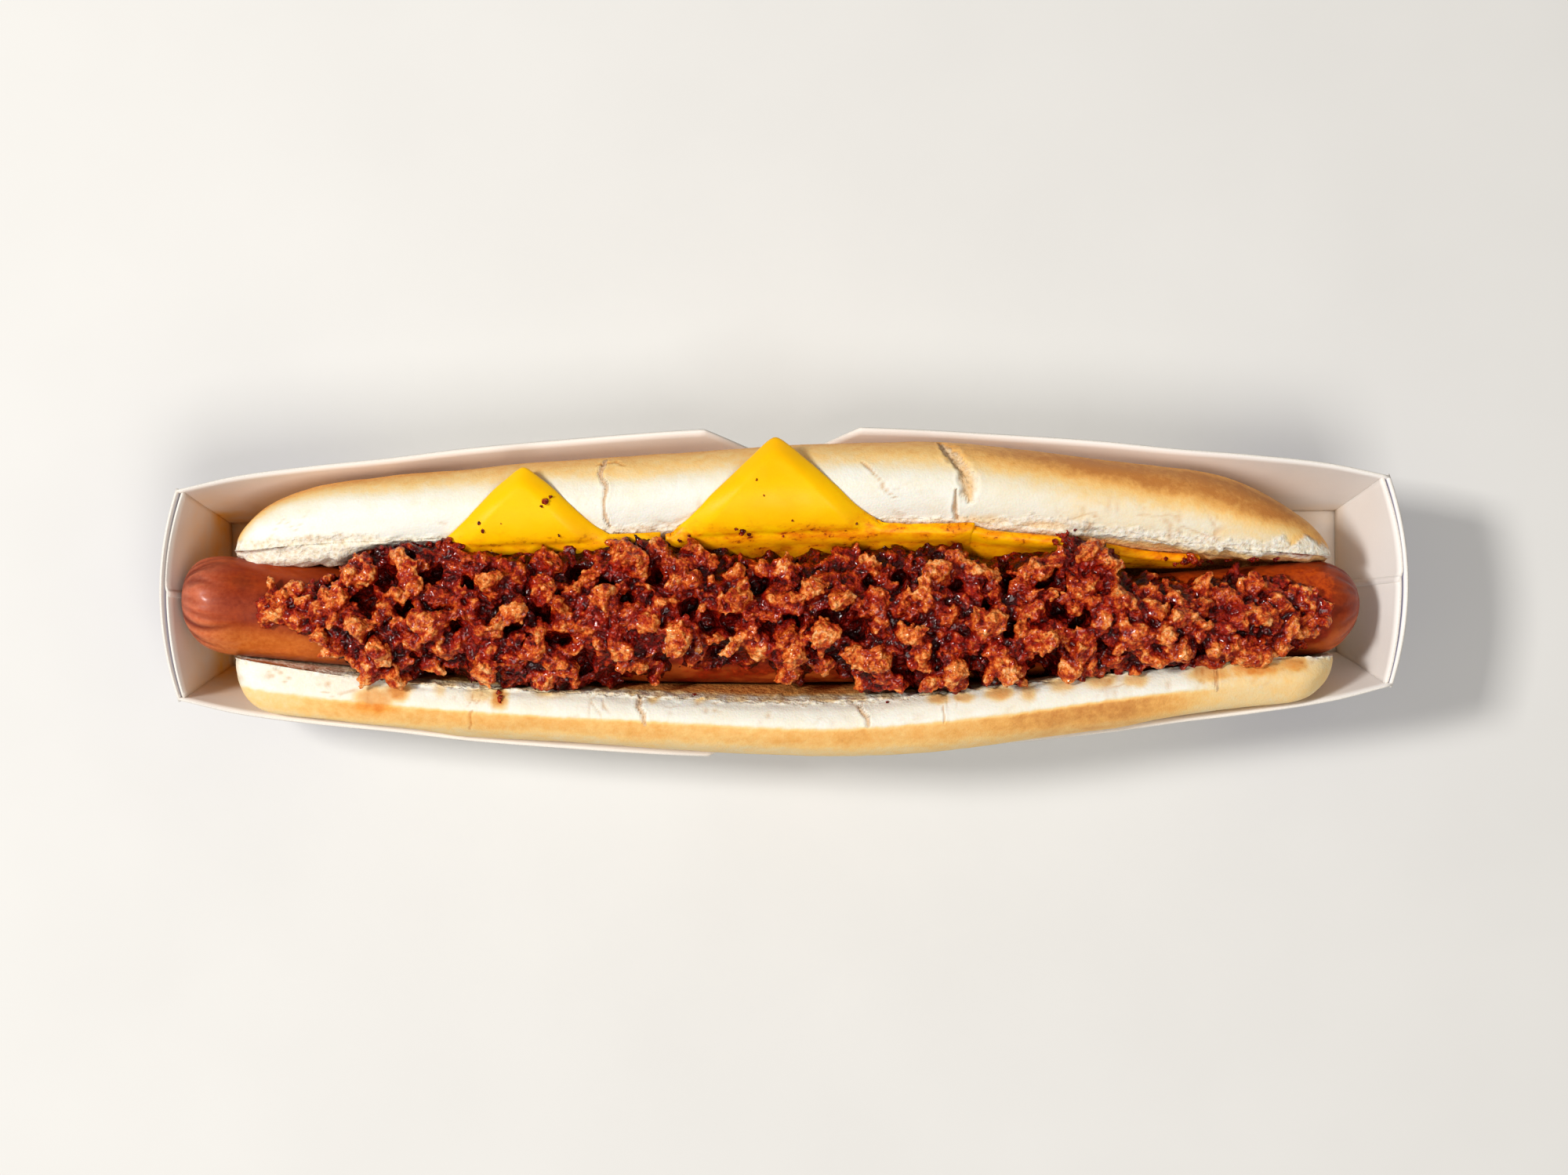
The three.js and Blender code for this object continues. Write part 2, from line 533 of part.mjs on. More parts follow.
const dog = new THREE.Group();
dog.add(named('tray', makeTray(), board));
dog.add(named('bun', makeBun(), bread));
dog.add(named('frankfurter', makeFrank(0, 27), frank));
for (const slice of SLICES) dog.add(named(slice.name, makeSlice(slice), cheese));
dog.add(named('chili', makeHeap(), sauce));

export default dog;
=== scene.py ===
import math
import bmesh
import bpy
import numpy as np
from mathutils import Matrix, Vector
from mathutils.bvhtree import BVHTree
from mathutils.kdtree import KDTree


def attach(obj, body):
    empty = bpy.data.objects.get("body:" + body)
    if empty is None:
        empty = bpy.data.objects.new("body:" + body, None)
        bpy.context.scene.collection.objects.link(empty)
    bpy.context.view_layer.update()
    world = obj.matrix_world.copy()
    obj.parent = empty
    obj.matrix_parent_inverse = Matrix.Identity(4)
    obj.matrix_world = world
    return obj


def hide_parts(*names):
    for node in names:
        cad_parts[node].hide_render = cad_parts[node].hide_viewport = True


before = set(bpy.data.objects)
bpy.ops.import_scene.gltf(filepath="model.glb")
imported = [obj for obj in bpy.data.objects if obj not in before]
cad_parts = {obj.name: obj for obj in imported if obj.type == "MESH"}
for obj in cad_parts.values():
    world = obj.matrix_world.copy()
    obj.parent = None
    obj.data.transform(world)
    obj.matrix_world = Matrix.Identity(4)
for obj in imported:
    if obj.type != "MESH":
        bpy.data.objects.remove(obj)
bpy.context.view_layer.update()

MM = 0.001
scene = bpy.context.scene
scene.view_settings.view_transform = "Standard"

# ------------------------------------------------------------------------------------------------ camera

CAMERA_HEIGHT = 650.0
PX_AT_FOOD = 0.2025  # mm a pixel, 45 mm above the floor
FOOD_Z = 45.0
ROLL = 0.0119

cam_data = bpy.data.cameras.new("camera")
cam_data.sensor_width = 36.0
cam_data.lens = 18.0 / (1000 * PX_AT_FOOD / (CAMERA_HEIGHT - FOOD_Z))
cam_data.clip_start = 0.01
cam_data.clip_end = 20
camera = bpy.data.objects.new("camera", cam_data)
camera.location = (0, 0.1 * MM, CAMERA_HEIGHT * MM)
camera.rotation_euler = (0, 0, -ROLL)
scene.collection.objects.link(camera)
scene.camera = camera


def place(u, v, z):
    """Where a point of the 2000 x 1499 frame lies at height z, in mm."""
    k = PX_AT_FOOD * (CAMERA_HEIGHT - z) / (CAMERA_HEIGHT - FOOD_Z)
    x = (u - 1000) * k
    return x, (749.5 - v) * k - ROLL * x + 0.1


# ------------------------------------------------------------------------------------------------ sizes, mm
# The same named sizes as the CAD model's.

BOARD = 0.6
FLOOR_HALF_LENGTH = 154.0
FLOOR_HALF_WIDTH = 20.0
WALL_SLANT = 41.5
RIM_CORNER_X = 158.0
RIM_STATION_X = [0, 20, 62, 83, 103, 123, 143, 158]
RIM_HALF_WIDTH = [43.2, 43.1, 40.2, 38.3, 35.8, 33.7, 30.9, 27.3]
RIM_SAG = 1.1
NOTCH_HALF_WIDTH = 20.5
NOTCH_DEPTH = 16.0
END_RIM_X = 162.5
END_HEIGHT = 40.7

FRANK_LEFT_X = -157.6
FRANK_RIGHT_X = 151.6
FRANK_RADIUS_LEFT = 12.9
FRANK_RADIUS_RIGHT = 12.3
FRANK_BOW_X = 12.0
FRANK_BOW_Y = -12.5
FRANK_BOW_LEFT = 3.88e-4
FRANK_BOW_RIGHT = 3.45e-4
FRANK_AXIS_Z = 30.0
FRANK_LIFT_LEFT = 4.5
FRANK_LIFT_RIGHT = 1.2
FRANK_CAP = 12.5

BUN_STATION_X = [-146, -104, -50, 10, 42, 82, 122, 145]
WIDE_OUTSIDE_Y = [26.5, 30.5, 34.2, 37.2, 37.2, 32.6, 27.6, 24.0]
WIDE_CUT_EDGE_Y = [11.2, 12.9, 14.4, 16.6, 16.8, 12.6, 7.9, 6.4]
NARROW_CUT_EDGE_Y = [-15.6, -22.4, -26.4, -29.3, -27.3, -23.0, -19.4, -19.0]
NARROW_OUTSIDE_Y = [-32.0, -36.0, -40.0, -43.8, -42.9, -37.9, -34.0, -32.5]
BUN_LEFT_X = -143.8
BUN_RIGHT_X = 144.2
WIDE_END_ROUNDING = 42.0
NARROW_END_ROUNDING = 12.0
BUN_CREST_Z = 51.0
BUN_CREST_DROP = 3.4
CUT_EDGE_ABOVE_AXIS = 16.0
BUN_BASE_Z = 0.98
WALL_CLEARANCE = 0.85

CHEESE_THICKNESS = 2.4
CHEESE_GAP = 0.5
CUT_EDGE_CLEARANCE = 0.7
CHEESE_DEPTH = 13.0

HEAP_LEFT_X = -137.0
HEAP_FULL_FROM_X = -113.0
HEAP_FULL_TO_X = 92.0
HEAP_RIGHT_X = 137.0
HEAP_CREST_Z = 54.5

# ------------------------------------------------------------------------------------------------ numbers


def clamp01(t):
    return np.clip(t, 0.0, 1.0)


def ease(t):
    return t * t * (3 - 2 * t)


def step(a, b, t):
    return ease(clamp01((t - a) / (b - a)))


def mix(a, b, t):
    return a + (b - a) * t


def along(xs, ys):
    """The cubic through the stations that the CAD model uses."""
    xs, ys = np.array(xs, float), np.array(ys, float)
    n = len(xs)

    def f(x):
        x = np.clip(np.asarray(x, float), xs[0], xs[-1])
        i1 = np.clip(np.searchsorted(xs, x, side="right"), 1, n - 1)
        i0 = i1 - 1
        t0, t1 = xs[i0], xs[i1]
        ip = np.where(i0 > 0, i0 - 1, i1)
        tp = np.where(i0 > 0, xs[np.maximum(i0 - 1, 0)], t1)
        iq = np.where(i1 < n - 1, i1 + 1, i0)
        tn = np.where(i1 < n - 1, xs[np.minimum(i1 + 1, n - 1)], t0)
        half = (t1 - t0) / 2
        wp, wn = half / (t0 - tp), half / (tn - t1)
        p = (x - t0) / (t1 - t0)
        pp = p * p
        ppp = pp * p
        return (
            (-wp * ppp + 2 * wp * pp - wp * p) * ys[ip]
            + ((1 + wp) * ppp + (-1.5 - 2 * wp) * pp + (-0.5 + wp) * p + 1) * ys[i0]
            + ((-1 - wn) * ppp + (1.5 + wn) * pp + 0.5 * p) * ys[i1]
            + (wn * ppp - wn * pp) * ys[iq]
        )

    return f


def _hash(ix, iy, iz, seed):
    u = np.uint32
    h = ix.astype(u) * u(374761393) ^ iy.astype(u) * u(668265263) ^ iz.astype(u) * u(2246822519)
    h = h ^ u((seed * 3266489917 + 97) & 0xFFFFFFFF)
    h ^= h >> u(15)
    h *= u(2246822519)
    h ^= h >> u(13)
    h *= u(3266489917)
    h ^= h >> u(16)
    return h


_GRAD = np.array(
    [[1, 1, 0], [-1, 1, 0], [1, -1, 0], [-1, -1, 0], [1, 0, 1], [-1, 0, 1], [1, 0, -1], [-1, 0, -1], [0, 1, 1], [0, -1, 1], [0, 1, -1], [0, -1, -1]],
    float,
)


def perlin(p, seed=0):
    p = np.asarray(p, float)
    i = np.floor(p).astype(np.int64)
    f = p - i
    w = f * f * f * (f * (f * 6 - 15) + 10)
    out = np.zeros(len(p))
    for dx in (0, 1):
        wx = w[:, 0] if dx else 1 - w[:, 0]
        for dy in (0, 1):
            wy = w[:, 1] if dy else 1 - w[:, 1]
            for dz in (0, 1):
                wz = w[:, 2] if dz else 1 - w[:, 2]
                g = _GRAD[_hash(i[:, 0] + dx, i[:, 1] + dy, i[:, 2] + dz, seed) % np.uint32(12)]
                dot = (f[:, 0] - dx) * g[:, 0] + (f[:, 1] - dy) * g[:, 1] + (f[:, 2] - dz) * g[:, 2]
                out += dot * wx * wy * wz
    return out


def fbm(p, seed=0, octaves=3, gain=0.5):
    p = np.asarray(p, float)
    out, amp, total = 0.0, 1.0, 0.0
    for k in range(octaves):
        out = out + amp * perlin(p * 2.03**k, seed + 17 * k)
        total += amp
        amp *= gain
    return out / total


def cells(p, seed=0):
    """Distance to the nearest and the second nearest of scattered points, one in each unit cell."""
    p = np.asarray(p, float)
    base = np.floor(p).astype(np.int64)
    f1 = np.full(len(p), 9.0)
    f2 = np.full(len(p), 9.0)
    for dx in (-1, 0, 1):
        for dy in (-1, 0, 1):
            for dz in (-1, 0, 1):
                c = base + (dx, dy, dz)
                h = _hash(c[:, 0], c[:, 1], c[:, 2], seed)
                jx = (h & np.uint32(1023)) / 1023.0
                jy = ((h >> np.uint32(10)) & np.uint32(1023)) / 1023.0
                jz = ((h >> np.uint32(20)) & np.uint32(1023)) / 1023.0
                d = np.sqrt((c[:, 0] + jx - p[:, 0]) ** 2 + (c[:, 1] + jy - p[:, 1]) ** 2 + (c[:, 2] + jz - p[:, 2]) ** 2)
                nearer = d < f1
                f2 = np.where(nearer, f1, np.minimum(f2, d))
                f1 = np.where(nearer, d, f1)
    return f1, f2


def line1(x, seed, size):
    """Smooth noise along one direction."""
    x = np.asarray(x, float).ravel()
    return perlin(np.c_[x / size, np.full(len(x), 0.37), np.full(len(x), 0.71)], seed)


# ------------------------------------------------------------------------------------------------ meshes


def grid_faces(m, n, wrap_m=False, wrap_n=False, offset=0):
    i, j = np.meshgrid(np.arange(m if wrap_m else m - 1), np.arange(n if wrap_n else n - 1), indexing="ij")
    i2, j2 = (i + 1) % m, (j + 1) % n
    return np.stack([i * n + j, i2 * n + j, i2 * n + j2, i * n + j2], -1).reshape(-1, 4) + offset


def grid_normals(P):
    a = np.empty_like(P)
    b = np.empty_like(P)
    a[1:-1], a[0], a[-1] = P[2:] - P[:-2], P[1] - P[0], P[-1] - P[-2]
    b[:, 1:-1], b[:, 0], b[:, -1] = P[:, 2:] - P[:, :-2], P[:, 1] - P[:, 0], P[:, -1] - P[:, -2]
    n = np.cross(a, b)
    return n / np.maximum(np.linalg.norm(n, axis=-1, keepdims=True), 1e-9)


def volume(V, groups):
    total = 0.0
    for f in groups:
        a = V[f[:, 0]]
        for k in range(1, f.shape[1] - 1):
            total += np.einsum("ij,ij->", a, np.cross(V[f[:, k]], V[f[:, k + 1]]))
    return total / 6


def build(name, V, groups, material, attrs=None, indices=None, replaces=None, smooth=True):
    """A closed mesh as a piece that rides with the object. indices are material indices, one list for each group."""
    V = np.asarray(V, float)
    groups = [np.asarray(f) for f in groups]
    if volume(V, groups) < 0:
        groups = [f[:, ::-1] for f in groups]
    me = bpy.data.meshes.new(name)
    me.vertices.add(len(V))
    me.vertices.foreach_set("co", (V * MM).astype(np.float32).ravel())
    loops = np.concatenate([f.ravel() for f in groups]).astype(np.int32)
    sizes = np.concatenate([np.full(len(f), f.shape[1]) for f in groups])
    me.loops.add(len(loops))
    me.loops.foreach_set("vertex_index", loops)
    me.polygons.add(len(sizes))
    me.polygons.foreach_set("loop_start", np.concatenate([[0], np.cumsum(sizes)[:-1]]).astype(np.int32))
    me.polygons.foreach_set("use_smooth", np.full(len(sizes), bool(smooth)))
    for m in material if isinstance(material, (list, tuple)) else [material]:
        me.materials.append(m)
    if indices is not None:
        me.polygons.foreach_set("material_index", np.concatenate(indices).astype(np.int32))
    me.update(calc_edges=True)
    for key, values in (attrs or {}).items():
        me.attributes.new(key, "FLOAT", "POINT").data.foreach_set("value", np.asarray(values, np.float32))
    ob = bpy.data.objects.new(name, me)
    scene.collection.objects.link(ob)
    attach(ob, "root")
    if replaces:
        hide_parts(*replaces)
    return ob


def ico(subdivisions):
    bm = bmesh.new()
    bmesh.ops.create_icosphere(bm, subdivisions=subdivisions, radius=1.0)
    V = np.array([v.co[:] for v in bm.verts])
    F = np.array([[v.index for v in f.verts] for f in bm.faces])
    bm.free()
    return V, F


def read_mesh(me):
    V = np.empty(len(me.vertices) * 3, np.float32)
    me.vertices.foreach_get("co", V)
    V = V.reshape(-1, 3).astype(float)
    me.calc_loop_triangles()
    F = np.empty(len(me.loop_triangles) * 3, np.int32)
    me.loop_triangles.foreach_get("vertices", F)
    return V, F.reshape(-1, 3)


def remeshed(V, F, size):
    """The union of overlapping closed shapes as one skin, with cells of that size."""
    me = bpy.data.meshes.new("tmp")
    me.from_pydata(V.tolist(), [], F.tolist())
    ob = bpy.data.objects.new("tmp", me)
    scene.collection.objects.link(ob)
    mod = ob.modifiers.new("skin", "REMESH")
    mod.mode = "VOXEL"
    mod.voxel_size = size
    mod.adaptivity = 0.0
    dg = bpy.context.evaluated_depsgraph_get()
    out = bpy.data.meshes.new_from_object(ob.evaluated_get(dg))
    bpy.data.objects.remove(ob)
    bpy.data.meshes.remove(me)
    V, F = read_mesh(out)
    bpy.data.meshes.remove(out)
    return V, F


def thinned(V, F, mask, ratio):
    """Thins the faces at the marked vertices, until about that share of all faces is left."""
    me = bpy.data.meshes.new("tmp")
    me.from_pydata(V.tolist(), [], F.tolist())
    ob = bpy.data.objects.new("tmp", me)
    scene.collection.objects.link(ob)
    group = ob.vertex_groups.new(name="hidden")
    group.add([int(i) for i in np.nonzero(mask)[0]], 1.0, "REPLACE")
    mod = ob.modifiers.new("thin", "DECIMATE")
    mod.ratio = ratio
    mod.vertex_group = "hidden"
    mod.vertex_group_factor = 1.0
    dg = bpy.context.evaluated_depsgraph_get()
    out = bpy.data.meshes.new_from_object(ob.evaluated_get(dg))
    bpy.data.objects.remove(ob)
    bpy.data.meshes.remove(me)
    V, F = read_mesh(out)
    bpy.data.meshes.remove(out)
    return V, F


def vertex_normals(V, F):
    n = np.cross(V[F[:, 1]] - V[F[:, 0]], V[F[:, 2]] - V[F[:, 0]])
    out = np.zeros_like(V)
    for k in range(3):
        for a in range(3):
            out[:, a] += np.bincount(F[:, k], n[:, a], len(V))
    return out / np.maximum(np.linalg.norm(out, axis=1, keepdims=True), 1e-12)


def neighbour_mean(X, F, count=1):
    """Each value averaged with its neighbours', count times."""
    e = np.concatenate([F[:, [0, 1]], F[:, [1, 2]], F[:, [2, 0]]])
    deg = np.bincount(e[:, 0], minlength=len(X)) + np.bincount(e[:, 1], minlength=len(X))
    deg = np.maximum(deg, 1)
    flat = X.reshape(len(X), -1)
    for _ in range(count):
        acc = np.stack(
            [np.bincount(e[:, 0], flat[e[:, 1], k], len(X)) + np.bincount(e[:, 1], flat[e[:, 0], k], len(X)) for k in range(flat.shape[1])],
            1,
        )
        flat = acc / deg[:, None]
    return flat.reshape(X.shape)


# ------------------------------------------------------------------------------------------------ materials


def rgb(r, g, b):
    def lin(c):
        c /= 255.0
        return c / 12.92 if c <= 0.04045 else ((c + 0.055) / 1.055) ** 2.4

    return (lin(r), lin(g), lin(b), 1.0)


class Paint:
    """A small helper round one material's node tree. Texture sizes are in mm."""

    def __init__(self, name):
        self.m = bpy.data.materials.new(name)
        self.m.use_nodes = True
        self.t = self.m.node_tree
        self.b = self.t.nodes["Principled BSDF"]
        self.coord = self.t.nodes.new("ShaderNodeTexCoord").outputs["Object"]

    def node(self, kind, **inputs):
        n = self.t.nodes.new(kind)
        for k, v in inputs.items():
            self.put(n.inputs[k], v)
        return n

    def put(self, socket, v):
        if isinstance(v, bpy.types.NodeSocket):
            self.t.links.new(v, socket)
        elif isinstance(v, (int, float)) and socket.type in {"RGBA", "VECTOR"}:
            socket.default_value = (v, v, v, 1.0) if socket.type == "RGBA" else (v, v, v)
        else:
            socket.default_value = v

    def attr(self, name):
        n = self.t.nodes.new("ShaderNodeAttribute")
        n.attribute_name = name
        return n.outputs["Fac"]

    def noise(self, size, detail=3.0, rough=0.55, stretch=None, distortion=0.0):
        v = self.coord
        if stretch:
            mp = self.t.nodes.new("ShaderNodeMapping")
            self.put(mp.inputs["Vector"], v)
            mp.inputs["Scale"].default_value = stretch
            v = mp.outputs["Vector"]
        n = self.node("ShaderNodeTexNoise", Vector=v, Scale=1 / (size * MM), Detail=detail, Roughness=rough, Distortion=distortion)
        return n.outputs["Fac"]

    def voronoi(self, size, feature="F1", out="Distance", randomness=1.0):
        n = self.t.nodes.new("ShaderNodeTexVoronoi")
        n.feature = feature
        self.put(n.inputs["Vector"], self.coord)
        n.inputs["Scale"].default_value = 1 / (size * MM)
        n.inputs["Randomness"].default_value = randomness
        return n.outputs[out]

    def math(self, op, a, b=0.0, c=0.0, clamp=False):
        n = self.t.nodes.new("ShaderNodeMath")
        n.operation = op
        n.use_clamp = clamp
        for i, v in enumerate((a, b, c)):
            if i < len(n.inputs):
                self.put(n.inputs[i], v)
        return n.outputs[0]

    def span(self, v, a, b, lo=0.0, hi=1.0, smooth=True):
        n = self.t.nodes.new("ShaderNodeMapRange")
        n.interpolation_type = "SMOOTHSTEP" if smooth else "LINEAR"
        for k, x in zip(("Value", "From Min", "From Max", "To Min", "To Max"), (v, a, b, lo, hi)):
            self.put(n.inputs[k], x)
        return n.outputs["Result"]

    def ramp(self, fac, stops, how="LINEAR"):
        n = self.t.nodes.new("ShaderNodeValToRGB")
        n.color_ramp.interpolation = how
        e = n.color_ramp.elements
        while len(e) < len(stops):
            e.new(0.5)
        for i, (p, c) in enumerate(stops):
            e[i].position = p
            e[i].color = c
        self.put(n.inputs["Fac"], fac)
        return n.outputs["Color"]

    def blend(self, fac, a, b, how="MIX"):
        n = self.t.nodes.new("ShaderNodeMix")
        n.data_type = "RGBA"
        n.blend_type = how
        self.put(n.inputs["Factor"], fac)
        self.put(n.inputs["A"] if False else [s for s in n.inputs if s.name == "A" and s.type == "RGBA"][0], a)
        self.put([s for s in n.inputs if s.name == "B" and s.type == "RGBA"][0], b)
        return [s for s in n.outputs if s.type == "RGBA"][0]

    def bump(self, height, depth, normal=None, strength=1.0):
        """height 0 to 1 stands for depth mm."""
        n = self.node("ShaderNodeBump", Height=height, Strength=strength, Distance=depth * MM)
        if normal is not None:
            self.put(n.inputs["Normal"], normal)
        return n.outputs["Normal"]

    def done(self, colour, normal=None, **inputs):
        self.put(self.b.inputs["Base Color"], colour)
        if normal is not None:
            self.put(self.b.inputs["Normal"], normal)
        for k, v in inputs.items():
            self.put(self.b.inputs[k.replace("_", " ")], v)
        return self.m


def bread_material():
    p = Paint("bread")
    crust, crumb, stain, crack_shade = p.attr("crust"), p.attr("crumb"), p.attr("stain"), p.attr("crack_shade")
    blotch = p.noise(9, 4, 0.6)
    grain = p.noise(0.9, 3, 0.6)
    speck = p.noise(2.4, 4, 0.65)
    level = p.math("ADD", crust, p.math("MULTIPLY", p.math("SUBTRACT", blotch, 0.5), 0.34))
    level = p.math("ADD", level, p.math("MULTIPLY", p.math("SUBTRACT", speck, 0.5), p.math("MULTIPLY", p.span(crust, 0.05, 0.5), 0.5)))
    level = p.math("ADD", level, p.math("MULTIPLY", p.math("SUBTRACT", grain, 0.5), 0.12), clamp=True)
    skin = p.ramp(
        level,
        [
            (0.0, rgb(235, 233, 222)),
            (0.16, rgb(231, 221, 196)),
            (0.34, rgb(235, 206, 152)),
            (0.54, rgb(240, 195, 122)),
            (0.74, rgb(232, 171, 92)),
            (1.0, rgb(196, 126, 60)),
        ],
    )
    pores = p.voronoi(1.3)
    # painted shade: the crumb is darker tan in its pits, where the bump sinks
    inside = p.ramp(
        p.math("ADD", p.math("MULTIPLY", pores, 0.8), p.math("MULTIPLY", grain, 0.5)),
        [(0.1, rgb(214, 186, 142)), (0.5, rgb(232, 219, 194)), (0.9, rgb(240, 234, 219))],
    )
    colour = p.blend(crumb, skin, inside)
    # painted shade: the colour is multiplied darker and warmer in the splits and wrinkle lines
    colour = p.blend(p.math("MULTIPLY", crack_shade, 1.1, clamp=True), colour, rgb(214, 160, 92), "MULTIPLY")
    soaked = p.ramp(p.math("MULTIPLY", stain, p.math("ADD", 0.72, p.math("MULTIPLY", speck, 0.5)), clamp=True), [(0.0, (1, 1, 1, 1)), (0.35, rgb(252, 222, 172)), (0.7, rgb(236, 166, 92)), (1.0, rgb(172, 74, 26))])
    colour = p.blend(1.0, colour, soaked, "MULTIPLY")
    n = p.bump(p.noise(5.5, 3, 0.5), 0.16)
    n = p.bump(grain, p.m and 0.10, n)
    n = p.bump(p.voronoi(0.55), 0.05, n)
    n = p.bump(p.math("MULTIPLY", p.math("ADD", p.math("MULTIPLY", pores, 0.35), p.noise(1.5, 4, 0.62)), crumb), 0.7, n)
    return p.done(
        colour,
        n,
        Roughness=p.span(crust, 0.2, 0.9, 0.72, 0.5),
        Subsurface_Weight=0.18,
        Subsurface_Radius=(1.0, 0.55, 0.3),
        Subsurface_Scale=0.0016,
        Specular_IOR_Level=0.2,
    )


def sausage_material():
    p = Paint("sausage")
    end, crease, sauce, lit_side, dark = p.attr("end"), p.attr("crease"), p.attr("sauce"), p.attr("lit_side"), p.attr("dark")
    blotch = p.noise(11, 4, 0.6, stretch=(0.4, 1, 1))
    fine = p.noise(1.3, 4, 0.62)
    streak = p.noise(3.0, 4, 0.6, stretch=(0.16, 1, 1))
    level = p.math("ADD", p.math("MULTIPLY", blotch, 0.62), p.math("MULTIPLY", streak, 0.28))
    level = p.math("ADD", level, p.math("MULTIPLY", fine, 0.16), clamp=True)
    skin = p.ramp(
        level,
        [(0.3, rgb(104, 28, 6)), (0.46, rgb(142, 46, 10)), (0.6, rgb(170, 66, 16)), (0.78, rgb(198, 94, 28))],
    )
    # painted light: paler orange on the lit near side of the casing
    skin = p.blend(p.math("MULTIPLY", lit_side, p.span(level, 0.3, 0.7, 0.6, 1.0)), skin, p.ramp(fine, [(0.3, rgb(206, 106, 36)), (0.7, rgb(226, 134, 58))]))
    skin = p.blend(p.math("MULTIPLY", end, 0.8), skin, p.ramp(fine, [(0.3, rgb(196, 98, 66)), (0.7, rgb(214, 126, 92))]))
    # painted shade: the casing is darker along its creases
    skin = p.blend(p.math("MULTIPLY", crease, 0.95), skin, rgb(104, 26, 12))
    skin = p.blend(p.math("MULTIPLY", dark, p.span(level, 0.3, 0.75, 0.95, 0.6)), skin, p.ramp(fine, [(0.3, rgb(104, 30, 12)), (0.7, rgb(136, 48, 20))]))
    char = p.span(p.noise(15, 5, 0.65, stretch=(0.6, 1, 1)), 0.54, 0.68, 0.0, 0.55)
    skin = p.blend(p.math("MULTIPLY", char, p.math("SUBTRACT", 1.0, lit_side)), skin, rgb(92, 30, 14))
    film = p.span(p.math("ADD", sauce, p.math("MULTIPLY", p.math("SUBTRACT", fine, 0.5), 0.8)), 0.3, 0.7)
    skin = p.blend(p.math("MULTIPLY", film, 0.92), skin, p.ramp(p.math("ADD", fine, p.math("MULTIPLY", p.attr("thin"), 0.35)), [(0.3, rgb(88, 10, 2)), (0.62, rgb(146, 34, 6)), (0.95, rgb(196, 76, 14))]))
    n = p.bump(p.noise(7, 3, 0.5, stretch=(0.35, 1, 1)), 0.22)
    n = p.bump(fine, 0.06, n)
    return p.done(
        skin,
        n,
        Roughness=p.span(fine, 0.3, 0.7, 0.36, 0.5),
        Subsurface_Weight=0.12,
        Subsurface_Radius=(1.0, 0.35, 0.1),
        Subsurface_Scale=0.0012,
        Coat_Weight=0.16,
        Coat_Roughness=0.16,
        Specular_IOR_Level=0.14,
    )


def cheese_material():
    p = Paint("cheese")
    fold_shade, smear = p.attr("fold_shade"), p.attr("smear")
    # painted shade: the slice is darker and oranger where it folds down into the split
    base = p.blend(fold_shade, p.ramp(p.noise(14, 2, 0.5), [(0.3, rgb(254, 184, 0)), (0.7, rgb(255, 194, 0))]), rgb(255, 170, 3))
    fine = p.noise(1.4, 5, 0.65)
    spots = p.noise(3.6, 5, 0.7, stretch=(0.6, 1, 1))
    wet = p.math("MULTIPLY", smear, p.span(spots, 0.36, 0.66))
    base = p.blend(p.math("MULTIPLY", wet, 0.9, clamp=True), base, rgb(222, 110, 6))
    base = p.blend(p.math("MULTIPLY", smear, p.span(p.math("MULTIPLY", spots, fine), 0.30, 0.40)), base, rgb(128, 34, 8))
    n = p.bump(p.noise(10, 2, 0.5), 0.25)
    n = p.bump(fine, 0.02, n)
    return p.done(
        base,
        n,
        Roughness=p.span(p.noise(5, 3, 0.5), 0.3, 0.7, 0.34, 0.46),
        Subsurface_Weight=0.25,
        Subsurface_Radius=(1.0, 0.6, 0.12),
        Subsurface_Scale=0.0016,
        Specular_IOR_Level=0.12,
    )


def meat_material():
    p = Paint("meat_sauce")
    cavity_shade, rise, tint = p.attr("cavity_shade"), p.attr("rise"), p.attr("tint")
    lump = p.noise(2.8, 4, 0.6)
    fine = p.noise(0.8, 4, 0.65)
    # crests lighter and hollows darker: partly the orange meat standing out of the red sauce, partly painted shade in
    # the hollows
    level = p.math("ADD", 0.12, p.math("MULTIPLY", rise, 0.50))
    level = p.math("ADD", level, p.math("MULTIPLY", tint, 0.15))
    level = p.math("ADD", level, p.math("MULTIPLY", p.math("SUBTRACT", lump, 0.5), 1.6))
    # painted shade: darker in the skin's small hollows
    level = p.math("SUBTRACT", level, p.math("MULTIPLY", cavity_shade, 0.10))
    level = p.math("ADD", level, p.math("MULTIPLY", p.math("SUBTRACT", fine, 0.5), 0.85), clamp=True)
    # the ramp's darkest end is painted shade in the hollows; its pale pinkish top is partly a painted highlight on the
    # crests
    colour = p.ramp(
        level,
        [
            (0.0, rgb(42, 1, 0)),
            (0.16, rgb(74, 2, 0)),
            (0.32, rgb(120, 10, 1)),
            (0.50, rgb(168, 44, 7)),
            (0.65, rgb(210, 90, 26)),
            (0.80, rgb(240, 138, 60)),
            (1.0, rgb(255, 188, 122)),
        ],
    )
    # places where the sauce is redder and covers the meat
    saucy = p.math("MULTIPLY", p.span(p.noise(8.5, 3, 0.55), 0.50, 0.62), p.span(level, 0.78, 0.5))
    colour = p.blend(p.math("MULTIPLY", saucy, 0.8), colour, p.ramp(level, [(0.1, rgb(84, 2, 0)), (0.45, rgb(158, 22, 4)), (0.8, rgb(206, 66, 18))]))
    n = p.bump(fine, 0.45)
    n = p.bump(p.voronoi(0.95), 0.45, n)
    n = p.bump(p.noise(0.4, 2, 0.5), 0.1, n)
    wet = p.span(p.math("ADD", rise, p.math("MULTIPLY", p.math("SUBTRACT", lump, 0.5), 1.2)), 0.3, 0.85, 0.2, 0.42)
    return p.done(
        colour,
        n,
        Roughness=wet,
        Subsurface_Weight=0.05,
        Subsurface_Radius=(1.0, 0.25, 0.1),
        Subsurface_Scale=0.0005,
        Coat_Weight=0.5,
        Coat_Roughness=0.08,
        Specular_IOR_Level=0.08,
    )


